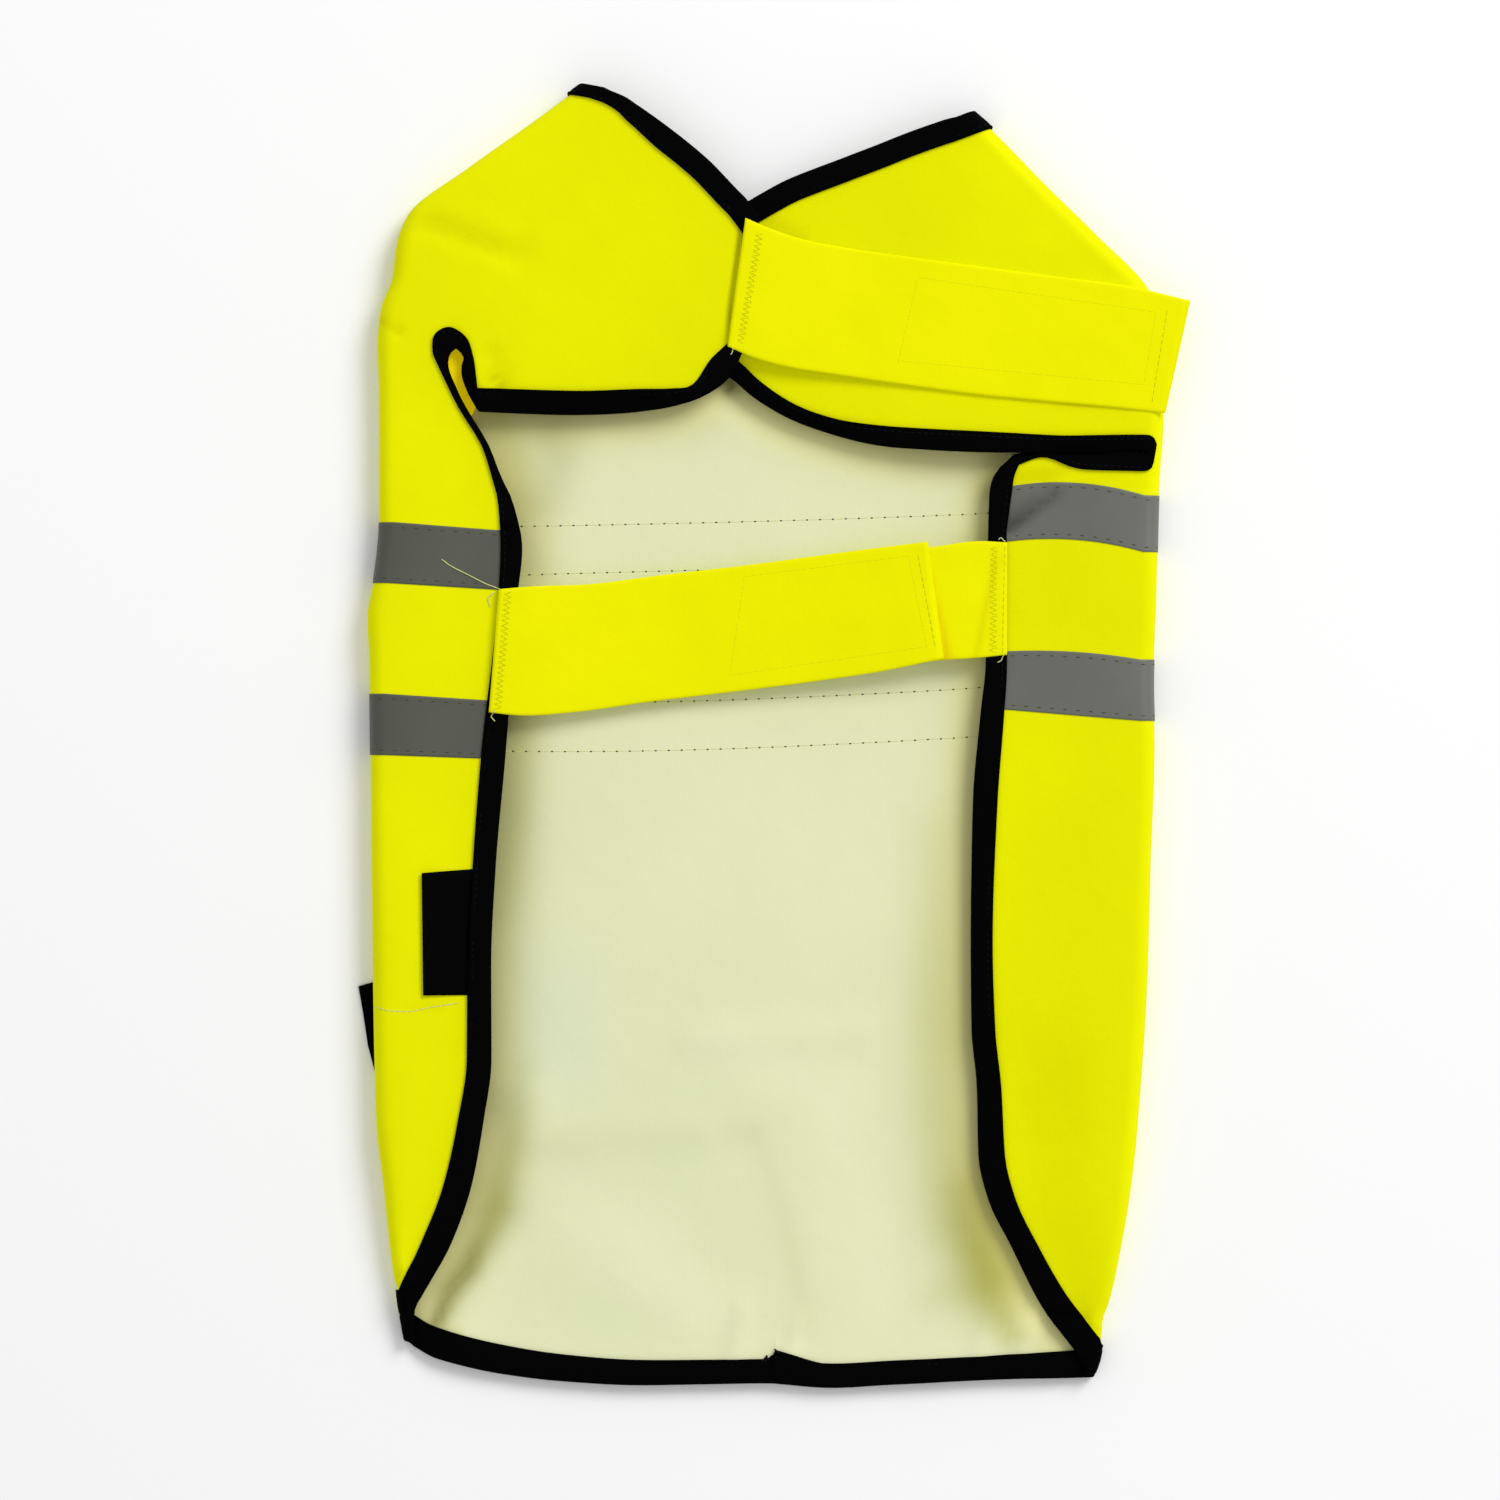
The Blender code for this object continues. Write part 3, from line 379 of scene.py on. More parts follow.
def fold_points(side, y, layer):
    """The points of one side fold in one row, from its outermost line to its crest, on one layer."""
    fold = SIDES[side]["fold"]
    inward = SIDES[side]["inward"]

    def value(column, at=y):
        return smooth(fold["y"], fold[column], at)

    low = max(fold["y"][0], y - FOLD_TANGENT_REACH)
    high = min(fold["y"][-1], y + FOLD_TANGENT_REACH)
    lean = (value("x", high) - value("x", low)) / (high - low)
    normal = Vector((inward, -inward * lean)).normalized()
    dip = math.radians(value(layer + "_dip"))
    along = Vector((inward * math.cos(dip), -math.sin(dip)))
    radius = value("radius")
    reach = radius / along.dot(normal)
    start = Vector((value("x") + inward * FOLD_INSET, y))
    up = 1 if layer == "front" else -1
    points = []
    for degrees in FOLD_ANGLES:
        turn = math.radians(degrees)
        plan = start + along * reach * (1 - math.cos(turn))
        points.append(Vector((plan.x, plan.y, BACK_Z + radius * (1 + up * math.sin(turn)))))
    return points


def edge_value(side, column, y):
    """The value of a column of a flap's edge table at a Y."""
    edge = SIDES[side]["edge"]
    return smooth(edge["y"], edge[column], y)


SLIT_END = round(CREST * 2 / 3)  # the column on the right fold where the slit ends
SLIT_END_ROUNDING = 3.6


def round_slit_end(side, row, points):
    """Draw the binding's two lines together round the end of the right slit."""
    on_strip = row["span"] in ("lip", "slit") or (row["span"] == "leg_inner" and row["share"] == 0)
    if side == "right" and on_strip:
        middle = ROW[AT["slit"]]["right_fold"]
        end = points[SLIT_END].x
        for c in range(min(len(points), CREST + 3)):
            past = min(1.0, abs(points[c].x - end) / SLIT_END_ROUNDING)
            points[c].y = mix(middle, points[c].y, 0.5 + 0.5 * math.sqrt(1 - (1 - past) ** 2))
    return points


LEAST_PLAIN_SHARE = 0.08  # of a flap's row, before its binding
LIP_RISE_AT = (0.7, 0.16)  # the share of a row where its rise is highest, and the rise's reach
RUN_OUT = 0.3  # how far a binding's inner line may run out past its column before the columns crowd


def flap_row(side, row):
    """A row of a side flap, from the outermost line of its fold to its finished edge."""
    points = fold_points(side, row[side + "_fold"], "front")
    crest = points[-1]
    edge_y = row[side + "_edge"]
    end_x, inner_x, inner_z, edge_z = (edge_value(side, column, edge_y) for column in EDGE_COLUMNS[1:])
    share = max(LEAST_PLAIN_SHARE, (inner_x - crest.x) / (end_x - crest.x))
    bow, rise = (row["bow"], row["rise"]) if side == "right" else (0.0, 0.0)

    def plan(part):
        lift = bow * 4 * part * (1 - part) + rise * math.exp(-((part - LIP_RISE_AT[0]) / LIP_RISE_AT[1]) ** 2)
        return mix(crest.x, end_x, part), mix(crest.y, edge_y, part) + lift

    for step in range(1, PLAIN_STEPS + 1):
        part = step / PLAIN_STEPS
        points.append(Vector((*plan(share * step / PLAIN_STEPS), mix(crest.z, inner_z, ease(part)))))
    for across in ACROSS_BINDING[1:] + [1.0]:
        points.append(Vector((*plan(mix(share, 1.0, across)), mix(inner_z, edge_z, across))))
    if SIDES[side]["inward"] * (inner_x - points[STRIP].x) < -RUN_OUT:
        points = crowded(points, inner_x)
    return round_slit_end(side, row, points)


LEAST_REACH = 0.8  # along a crowded row, before its binding


def crowded(points, inner_x):
    """A row near the hem, its columns crowded to where the binding's inner line has run out onto the fold."""
    travelled = [0.0]
    for a, b in zip(points, points[1:]):
        travelled.append(travelled[-1] + (b - a).length)
    outward = -1 if points[0].x < points[-1].x else 1
    reached = np.interp(-outward * inner_x, [-outward * point.x for point in points], travelled)
    reached = max(reached, LEAST_REACH)
    at = [reached * c / STRIP for c in range(STRIP)]
    at += [mix(reached, travelled[-1], across) for across in ACROSS_BINDING + [1.0]]
    axes = [np.interp(at, travelled, [point[axis] for point in points]) for axis in range(3)]
    return [Vector(place) for place in zip(*axes)]


LIP_DROP = 3.0
LIP_UNDER = 1.6


def lower_lip(points, closing):
    """A row near the right flap's top, bent down and under the wing's edge as far as it is closing."""
    for c in range(CREST + 1, len(points)):
        start = min(1.0, (c - CREST) / len(STATION))
        stop = 1.0 - (ACROSS_BINDING + [1.0])[c - STRIP] if c > STRIP else 1.0
        points[c].y += LIP_UNDER * start * stop * closing
        points[c].z -= LIP_DROP * start * stop * closing
    return points


def beside(line, distance, towards, narrowed=()):
    """A line of plan points moved by a distance, or a narrowed one, to the side where a point lies."""
    moved = []
    for i, point in enumerate(line):
        along = line[min(i + 1, len(line) - 1)] - line[max(i - 1, 0)]
        across = Vector((-along.y, along.x)).normalized()
        if across.dot(towards - point) < 0:
            across.negate()
        moved.append(point + across * (narrowed[i] if i < len(narrowed) else distance))
    return moved


NARROWED = [6.0, 6.4, 7.0, 7.8, 8.6, 9.4]  # the left neck binding's width, from the side fold
SLIT_TURN = 3  # of the left wing's stations: where the binding turns round the slit's end
SLIT_WAY_OUT = Vector((0.2, 1.3, 0.0))  # the way that it leaves that station
SLIT_CORNER = 8  # and where it turns sharply onto the leg edge


def wing_rows(side, table):
    """The rows of a chest wing, from the slit to the neck, each from its fold's outermost line to its end."""
    stations = named(WING_COLUMNS, table)
    leg, inner, neck = (plan_line(stations, edge) for edge in ("leg", "inner", "neck"))
    neck_inner = beside(neck, BINDING_WIDTH, inner[len(inner) // 2], NARROWED if side == "left" else ())
    first, last = AT["leg_inner"], AT["neck_inner"]
    folds = {i: fold_points(side, ROW[i][side + "_fold"], "front") for i in range(AT["slit"], AT["neck"] + 1)}
    crests = {i: Vector(folds[i][-1][:2]) for i in folds}
    climbs = {first: 0.0}
    for i in range(first, last):
        climbs[i + 1] = climbs[i] + (crests[i + 1] - crests[i]).length
    lengths = [(inner[0] - crests[first]).length]
    for a, b in zip(inner, inner[1:]):
        lengths.append(lengths[-1] + (b - a).length)

    def between(i, k):
        climb = climbs[i] / climbs[last]
        bulge = crests[i] - mix(crests[first], crests[last], climb)
        return mix(inner[k], neck_inner[k], climb) + bulge * (1 - lengths[k] / lengths[-1])

    spans = [STATION] * SLIT_TURN + [ACROSS_BINDING] + [STATION] * (len(table) - SLIT_TURN - 1)
    rows = {}
    for i in folds:
        line = [folds[i][-1]]
        for k, z in enumerate(stations["z"]):
            share = ROW[i]["share"]
            if ROW[i]["span"] == "slit":
                plan = mix(leg[k], between(first, k), share)
                z -= stations["drop"][k] * (1 - share)
            elif i >= last:
                plan = mix(neck_inner[k], neck[k], 1.0 if i == AT["neck"] else share)
            else:
                plan = between(i, k)
            line.append(Vector((plan.x, plan.y, z)))
        if side == "left":
            bound = ROW[i]["share"] if ROW[i]["span"] == "slit" else 1.0 if i == first else 0.0
            corner = SLIT_CORNER if i <= first else None
            curve = curve_through(line, spans, corner, (SLIT_TURN, SLIT_WAY_OUT, bound))
        else:
            curve = curve_through(line, spans)
        rows[i] = round_slit_end(side, ROW[i], folds[i][:-1] + curve)
    return rows


NECK_HOLE_MIDDLE = (2.0, 235.0)
HEM_BOW_REACH = 110.0  # over which the hem's bow dies out
HEM_JOIN = [(-0.1, 0.0), (1.2, 3.8), (6.6, 2.8), (11.6, 1.6), (19.5, 0.0)]  # the binding's bulging overlap
HEM_LIFT = (2.4, -253.0, 16.0)  # the hem stands off the table this high at its row, and over this reach
HEM_LIFT_FADE = 0.12  # the share of a row over which the lift grows from each side fold
QUARTERS = (0.0, 0.25, 0.75, 1.0)


def back_rows():
    """The rows of the back, each from the left fold's outermost line to the right one's."""
    stations = named(BACK_COLUMNS, BACK)
    hem_edge = plan_line(stations, "hem")
    neck_edge = plan_line(stations, "neck")
    neck_inner = beside(neck_edge, -BINDING_WIDTH, Vector(NECK_HOLE_MIDDLE))
    first, last = ROW[AT["slit"]], ROW[AT["neck_inner"]]

    def plain(row, share):
        left = fold_points("left", row["left_fold"], "back")[-1]
        right = fold_points("right", row["right_fold"], "back")[-1]
        ys = (left.y, row["left_back"], row["right_back"], right.y)
        return Vector((mix(left.x, right.x, share), smooth(QUARTERS, ys, share)))

    knots = [0.0] + stations["share"] + [1.0]

    def bows(row, target):
        moves = [target[k] - plain(row, share) for k, share in enumerate(stations["share"])]
        return [[0.0] + [move[axis] for move in moves] + [0.0] for axis in (0, 1)]

    hem_bow = bows(ROW[0], hem_edge)
    neck_inner_bow = bows(last, neck_inner)
    neck_bow = bows(ROW[-1], neck_edge)

    def bow(table, share):
        return Vector([smooth(knots, column, share) for column in table])

    start = first["left_back"] + first["right_back"]
    climb = last["left_back"] + last["right_back"] - start
    rows = []
    for i, row in enumerate(ROW):
        hem_share = 1 - ease((row["left_fold"] - ROW[AT["hem_inner"]]["left_fold"]) / HEM_BOW_REACH)
        neck_share = max(0.0, min(1.0, (row["left_back"] + row["right_back"] - start) / climb))
        onto_edge = 1.0 if i == AT["neck"] else row["share"] if i >= AT["neck_inner"] else 0.0
        hem_lift = HEM_LIFT[0] * math.exp(-((row["left_back"] - HEM_LIFT[1]) / HEM_LIFT[2]) ** 2)
        middle = []
        for a, b in zip(knots, knots[1:]):
            for t in even(BACK_STEPS):
                share = mix(a, b, t)
                plan = plain(row, share) + bow(hem_bow, share) * hem_share
                plan += mix(bow(neck_inner_bow, share), bow(neck_bow, share), onto_edge) * neck_share
                join = {"hem": row["share"], "hem_inner": 1 - row["share"]}.get(row["span"], 0.0)
                plan.y += join * np.interp(plan.x, *zip(*HEM_JOIN))
                lift = hem_lift * ease(min(share, 1 - share) / HEM_LIFT_FADE)
                middle.append(Vector((plan.x, plan.y, BACK_Z + lift)))
        left = fold_points("left", row["left_fold"], "back")
        right = fold_points("right", row["right_fold"], "back")
        right[0] = round_slit_end("right", row, fold_points("right", row["right_fold"], "front"))[0]
        rows.append(left + middle[1:] + right[::-1])
    return rows


def off_line(place, x0, y0, x1, y1):
    """How far a place is in plan from the line between two points."""
    start, run = Vector((x0, y0)), Vector((x1 - x0, y1 - y0))
    spot = Vector((place.x, place.y)) - start
    return (spot - run * max(0.0, min(1.0, spot.dot(run) / run.length_squared))).length


def drape(layer, place):
    """How far the cloth of one layer lies above its flat place, by its creases and gentle waves."""
    height, length = UNDULATION[layer]
    rise = height * noise.noise(Vector((place.x, place.y, WAVES_APART * len(layer))) / length)
    for where, x0, y0, x1, y1, width, crest in CREASES:
        if where == layer:
            rise += crest * math.exp(-(off_line(place, x0, y0, x1, y1) / width) ** 2)
    return rise


def draped(row, layer, ends):
    """A row with its creases, which fade out at its side folds."""
    for c, place in enumerate(row):
        inside = min(c, len(row) - 1 - c) if ends == 2 else c
        fade = ease(inside / CREST - 0.5)
        lift = drape(layer, place) * fade
        place.z += max(lift, 0.0) if layer == "back" else lift
    return row


class Surface:
    """A middle surface: points, faces that look to the outer side, and each face's patch, row and column."""

    def __init__(self):
        self.points = []
        self.faces = []
        self.tags = []
        self.run = []
        self.key = {}
        self.grid = {}

    def point(self, place, run):
        """The number of the point at a place, which is shared by the patches that meet there."""
        key = tuple(round(value, 3) for value in place)
        if key not in self.key:
            self.key[key] = len(self.points)
            self.points.append(place)
            self.run.append(run)
        return self.key[key]

    def patch(self, name, rows, first_row, flip, runs=None):
        """Add a grid of rows. runs holds each point's place across the flat cloth, for the weave."""
        grid = []
        for r, row in enumerate(rows):
            grid.append([self.point(place, runs[r][c] if runs else place.x) for c, place in enumerate(row)])
            self.grid[name, first_row + r] = grid[-1]
        for r, (low, high) in enumerate(zip(grid, grid[1:])):
            for c in range(len(low) - 1):
                face = [low[c], low[c + 1], high[c + 1], high[c]]
                if len(set(face)) == 4:
                    self.faces.append(face[::-1] if flip else face)
                    self.tags.append((name, first_row + r, c))

    def finish(self):
        """Work out the points' normals and which edges are free."""
        self.place = np.array([tuple(point) for point in self.points])
        quads = self.place[np.array(self.faces)]
        across = np.cross(quads[:, 2] - quads[:, 0], quads[:, 3] - quads[:, 1])
        self.unit = np.zeros_like(self.place)
        for corner in range(4):
            np.add.at(self.unit, np.array(self.faces)[:, corner], across)
        self.unit /= np.linalg.norm(self.unit, axis=1)[:, None]
        self.free = boundary(self.faces)

    def pick(self, wanted):
        """The faces whose patch, row and column are wanted."""
        return [f for f, tag in enumerate(self.tags) if wanted(*tag)]


def boundary(faces):
    """The directed edges round some faces."""
    edges = {(v, w) for face in faces for v, w in zip(face, face[1:] + face[:1])}
    return {edge for edge in edges if edge[::-1] not in edges}


def flat_runs(rows, inward):
    """Where each point of some rows lies across the flat cloth: its X, and along the arc within the fold."""
    runs = []
    for row in rows:
        line = [place.x for place in row]
        for c in range(CREST - 1, -1, -1):
            line[c] = line[c + 1] - inward * (row[c + 1] - row[c]).length
        runs.append(line)
    return runs


HALF_CLOSED = 0.4  # how far the left flap's top has drawn up to the wing where its binding starts


def coat_surface():
    """The whole cloth: the back, two flaps and two wings, meeting along the side folds."""
    surface = Surface()
    slit, lip = AT["slit"], AT["lip"]
    surface.patch("back", [draped(row, "back", 2) for row in back_rows()], 0, True)
    for side, table, flip in (("left", LEFT_WING, False), ("right", RIGHT_WING, True)):
        inward = SIDES[side]["inward"]
        wing = wing_rows(side, table)
        flap = [flap_row(side, ROW[i]) for i in range(slit + 1)]
        if side == "left":
            shifts = [there - here for there, here in zip(wing[slit], flap[slit])]
            for i in range(AT["front_top"], slit + 1):
                share = ROW[i]["share"]
                closings = {"lip": mix(HALF_CLOSED, 1.0, share), "slit": 1.0}
                closing = closings.get(ROW[i]["span"], HALF_CLOSED * share)
                for place, shift in zip(flap[i][:STRIP], shifts):
                    place += shift * closing
            flap[slit] = [place.copy() for place in wing[slit][:len(flap[0])]]
        else:
            for i in range(lip, slit + 1):
                lower_lip(flap[i], 1.0 if i == slit else ease(ROW[i]["share"]))
        flap = [draped(row, side, 1) for row in flap]
        wing = [draped(wing[i], side, 1) for i in sorted(wing)]
        surface.patch(side + "_flap", flap, 0, flip, flat_runs(flap, inward))
        surface.patch(side + "_wing", wing, slit, flip, flat_runs(wing, inward))
    surface.finish()
    return surface


coat = coat_surface()


def solid(name, points, faces, finishes, runs=None, material_of=None):
    """A piece as an object, from points in millimetres, with a UV map of real lengths over the flat cloth."""
    mesh = bpy.data.meshes.new(name)
    mesh.from_pydata([tuple(float(value) * MM for value in place) for place in points], [], faces)
    for finish in finishes:
        mesh.materials.append(finish)
    if material_of:
        mesh.polygons.foreach_set("material_index", material_of)
    layer = mesh.uv_layers.new(name="cloth")
    corners = np.empty(len(mesh.loops), dtype=np.int32)
    mesh.loops.foreach_get("vertex_index", corners)
    across = np.array([place[0] for place in points] if runs is None else runs)
    along = np.array([place[1] for place in points])
    layer.data.foreach_set("uv", (np.stack([across[corners], along[corners]], axis=1) * MM).ravel())
    mesh.polygons.foreach_set("use_smooth", [True] * len(mesh.polygons))
    mesh.update()
    piece = bpy.data.objects.new(name, mesh)
    bpy.context.scene.collection.objects.link(piece)
    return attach(piece, "root")


def wall(name, surface, faces, outer, inner, finishes):
    """A sheet on some faces of a surface, between two distances out of it, with the first finish outside."""
    used = sorted({v for f in faces for v in surface.faces[f]})
    number = {v: i for i, v in enumerate(used)}
    count = len(used)
    base, unit = surface.place[used], surface.unit[used]
    outer, inner = (np.broadcast_to(distance, count)[:, None] for distance in (outer, inner))
    points = np.concatenate([base + unit * outer, base + unit * inner])
    quads = [[number[v] for v in surface.faces[f]] for f in faces]
    under = [[i + count for i in quad][::-1] for quad in quads]
    rim = [[b, a, a + count, b + count] for a, b in boundary(quads)]
    kinds = [0] * len(quads) + [len(finishes) - 1] * len(under) + [0] * len(rim)
    runs = [surface.run[v] for v in used] * 2
    return solid(name, points, quads + under + rim, finishes, runs, kinds)


def flat_surface(name, rows):
    """A finished surface of one patch."""
    surface = Surface()
    surface.patch(name, rows, 0, False)
    surface.finish()
    return surface


def principled(name, colour, roughness):
    """A new node material with a Principled shader, and its nodes and links."""
    made = bpy.data.materials.new(name)
    made.use_nodes = True
    nodes, links = made.node_tree.nodes, made.node_tree.links
    shader = nodes["Principled BSDF"]
    shader.inputs["Base Color"].default_value = (*colour, 1.0)
    shader.inputs["Roughness"].default_value = roughness
    return made, nodes, links, shader


def add_weave(nodes, links, pitch):
    """The height of a plain weave over the flat cloth, as two crossing sets of yarns."""
    flat = nodes.new("ShaderNodeUVMap")
    flat.uv_map = "cloth"
    heights = []
    for direction in ("X", "Y"):
        yarns = nodes.new("ShaderNodeTexWave")
        yarns.wave_type = "BANDS"
        yarns.bands_direction = direction
        yarns.wave_profile = "SIN"
        yarns.inputs["Scale"].default_value = math.pi / (10 * pitch)  # one band is two pi over ten scales
        yarns.inputs["Distortion"].default_value = 0.4
        yarns.inputs["Detail"].default_value = 1.0
        links.new(flat.outputs["UV"], yarns.inputs["Vector"])
        heights.append(yarns.outputs["Fac"])
    woven = nodes.new("ShaderNodeMath")
    woven.operation = "MAXIMUM"
    links.new(heights[0], woven.inputs[0])
    links.new(heights[1], woven.inputs[1])
    return woven.outputs["Value"]


def add_bump(nodes, links, shader, height, distance, strength):
    """Raise the shader's surface by a height, over any bump that it already has."""
    bump = nodes.new("ShaderNodeBump")
    bump.inputs["Distance"].default_value = distance
    bump.inputs["Strength"].default_value = strength
    links.new(height, bump.inputs["Height"])
    before = shader.inputs["Normal"].links
    if before:
        links.new(before[0].from_socket, bump.inputs["Normal"])
    links.new(bump.outputs["Normal"], shader.inputs["Normal"])


def add_tone(nodes, links, shader, dark, light, scale):
    """Let the base colour drift between two tones in soft patches."""
    where = nodes.new("ShaderNodeTexCoord")
    patches = nodes.new("ShaderNodeTexNoise")
    patches.inputs["Scale"].default_value = scale
    patches.inputs["Detail"].default_value = 3.0
    links.new(where.outputs["Object"], patches.inputs["Vector"])
    ramp = nodes.new("ShaderNodeValToRGB")
    ramp.color_ramp.elements[0].position = 0.3
    ramp.color_ramp.elements[0].color = (*dark, 1.0)
    ramp.color_ramp.elements[1].position = 0.7
    ramp.color_ramp.elements[1].color = (*light, 1.0)
    links.new(patches.outputs["Fac"], ramp.inputs["Fac"])
    links.new(ramp.outputs["Color"], shader.inputs["Base Color"])


def add_crumple(nodes, links, scale):
    """The height of the small soft wrinkles that handling leaves in coated cloth."""
    where = nodes.new("ShaderNodeTexCoord")
    wrinkles = nodes.new("ShaderNodeTexNoise")
    wrinkles.inputs["Scale"].default_value = scale
    wrinkles.inputs["Detail"].default_value = 4.0
    wrinkles.inputs["Roughness"].default_value = 0.55
    links.new(where.outputs["Object"], wrinkles.inputs["Vector"])
    return wrinkles.outputs["Fac"]


def multiply_by(nodes, links, shader, attribute):
    """Multiply the base colour by a colour that is kept on the mesh's points."""
    stored = nodes.new("ShaderNodeAttribute")
    stored.attribute_name = attribute
    both = nodes.new("ShaderNodeMix")
    both.data_type = "RGBA"
    both.blend_type = "MULTIPLY"
    both.inputs["Factor"].default_value = 1.0
    links.new(shader.inputs["Base Color"].links[0].from_socket, both.inputs["A"])
    links.new(stored.outputs["Color"], both.inputs["B"])
    links.new(both.outputs["Result"], shader.inputs["Base Color"])


def yellow_face(name, dark, light, tone=None, glow=(0.85, 0.88, 0.0), strength=0.13):
    """Fluorescent woven polyester, with a painted glow in its own colour.

    The glow stands in for the fluorescence and evens out the cloth's shade.
    """
    made, nodes, links, shader = principled(name, light, roughness=0.65)
    add_tone(nodes, links, shader, dark, light, scale=14.0)
    if tone:
        # painted shade, kept on the points
        multiply_by(nodes, links, shader, tone)
    shader.inputs["Emission Color"].default_value = (*glow, 1.0)
    shader.inputs["Emission Strength"].default_value = strength
    shader.inputs["Specular IOR Level"].default_value = 0.025
    add_bump(nodes, links, shader, add_crumple(nodes, links, scale=60.0), distance=0.0008, strength=0.5)
    add_bump(nodes, links, shader, add_weave(nodes, links, pitch=0.0006), distance=0.00008, strength=0.5)
    return made


def cream_face(name):
    """The cream coating on the cloth's inside, with the weave faint under it."""
    made, nodes, links, shader = principled(name, (0.77, 0.79, 0.49), roughness=0.55)
    add_tone(nodes, links, shader, (0.75, 0.78, 0.48), (0.795, 0.81, 0.505), scale=9.0)
    # painted shade and light, kept on the cloth's points
    multiply_by(nodes, links, shader, "cover_tone")
    shader.inputs["Specular IOR Level"].default_value = 0.2
    add_bump(nodes, links, shader, add_crumple(nodes, links, scale=45.0), distance=0.0009, strength=0.5)
    add_bump(nodes, links, shader, add_weave(nodes, links, pitch=0.0006), distance=0.00004, strength=0.4)
    return made


# Both faces of the cloth are multiplied by the painted shade kept on its points.
YELLOW = yellow_face("fluorescent_cloth", (0.66, 0.67, 0.0), (0.725, 0.735, 0.0), tone="cover_tone")
CREAM = cream_face("coated_inside")


def nearest(points, targets):
    """How far each of some places is from the nearest of some others."""
    near = kdtree.KDTree(len(targets))
    for i, target in enumerate(targets):
        near.insert(target, i)
    near.balance()
    return np.array([near.find(point)[2] for point in points])


CLOTH_STOPS = 1.0  # this far short of the finished edge, inside the binding
from_edge = nearest(coat.points, [coat.points[v] for v, w in coat.free])
cloth_faces = [f for f, face in enumerate(coat.faces) if from_edge[face].mean() > CLOTH_STOPS]
cloth = wall("coat_cloth", coat, cloth_faces, CLOTH_HALF, -CLOTH_HALF, [YELLOW, CREAM])
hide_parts("body")

# Painted shade and painted light, as tones that multiply the cloth's colour. Each mark has its tone, and a
# line of points with their half width and depth. The inside is painted darker in its soft hollows, along the
# upper layers' edges and under the V, where shade falls, and painted paler on the swells between them and
# beside the right binding, where light falls.
# The darker tones are painted shade, and the two paler ones painted light.
OLIVE = np.array([0.46, 0.45, 0.19])
OCHRE = np.array([0.6, 0.58, 0.16])
GREY = np.array([0.58, 0.61, 0.62])
PALE = np.array([1.14, 1.14, 1.12])
COOL_LIGHT = np.array([1.12, 1.08, 1.15])
DARK = np.array([0.3, 0.29, 0.12])
PAINTED_SHADE_AND_LIGHT = [
    (OLIVE, [(-95.0, 134.0, 10.0, 0.3), (-89.0, 118.0, 10.0, 0.32), (-93.0, 98.0, 9.0, 0.2)]),
    (OCHRE, [(-116.0, 136.0, 9.0, 0.5), (-108.0, 118.0, 10.0, 0.4), (-106.0, 98.0, 10.0, 0.2)]),
    (OLIVE, [(-84.0, 134.0, 7.0, 0.12), (-66.0, 136.0, 7.0, 0.1)]),
    (OLIVE, [(-106.0, -168.0, 9.0, 0.12), (-60.0, -164.0, 6.0, 0.08), (-9.0, -165.0, 6.0, 0.08)]),
    (OLIVE, [(-7.0, -164.0, 6.0, 0.08), (3.0, -195.0, 6.0, 0.1), (9.0, -218.0, 5.0, 0.13),
             (13.0, -244.0, 5.0, 0.1)]),
    (COOL_LIGHT, [(-82.0, -198.0, 14.0, 0.4), (-55.0, -214.0, 18.0, 0.75), (-30.0, -236.0, 13.0, 0.6)]),
    (COOL_LIGHT, [(-20.0, -126.0, 14.0, 0.35), (24.0, -150.0, 16.0, 0.5), (38.0, -200.0, 16.0, 0.35),
             (44.0, -232.0, 12.0, 0.4)]),
    (PALE, [(-46.0, 134.0, 7.0, 0.3), (-24.0, 139.0, 6.0, 1.0), (4.0, 128.0, 7.0, 1.0),
            (44.0, 115.0, 7.0, 0.5)]),
    (OLIVE, [(-104.0, -140.0, 8.0, 0.2), (-115.0, -196.0, 10.0, 0.85), (-120.6, -209.6, 7.5, 0.75),
             (-126.0, -218.0, 6.5, 0.75), (-133.7, -229.6, 6.0, 0.7), (-139.6, -244.0, 4.0, 0.6)]),
    (OLIVE, [(-122.5, -208.0, 4.0, 0.2), (-125.8, -221.7, 4.5, 0.55), (-134.3, -230.6, 4.0, 0.4),
             (-140.0, -243.0, 2.6, 0.6)]),
    (DARK, [(-19.5, 150.0, 3.4, 1.0), (-17.5, 145.5, 3.4, 1.0)]),
    (OCHRE, [(80.0, -190.0, 9.0, 0.4), (86.0, -214.0, 13.0, 0.8), (90.0, -228.0, 14.0, 0.85),
             (98.0, -248.0, 7.0, 0.55)]),
    (OCHRE, [(66.0, -233.0, 7.0, 0.2), (88.0, -222.0, 17.0, 0.3), (84.0, -190.0, 17.0, 0.25)]),
    (OLIVE, [(92.0, 116.0, 6.0, 0.5), (88.0, 104.0, 6.0, 0.4)]),
    (OCHRE, [(68.0, -40.0, 12.0, 0.2), (68.0, -115.0, 14.0, 0.42), (69.0, -150.0, 15.0, 0.42),
             (74.0, -200.0, 14.0, 0.4)]),
    (PALE, [(84.0, -185.0, 9.0, 0.6), (98.0, -215.0, 8.0, 1.6), (109.0, -240.0, 8.0, 1.8)]),
    (GREY, [(-119.0, -150.0, 14.0, 0.6), (-117.0, -60.0, 15.0, 0.8), (-113.0, 8.0, 13.0, 0.75)]),
    (OLIVE, [(-112.0, -70.0, 9.0, 0.15), (-107.0, -34.0, 9.0, 0.3), (-104.0, 5.0, 9.0, 0.2)]),
    (GREY, [(-102.0, 72.0, 10.0, 0.5), (-106.0, 96.0, 10.0, 0.3)]),
]
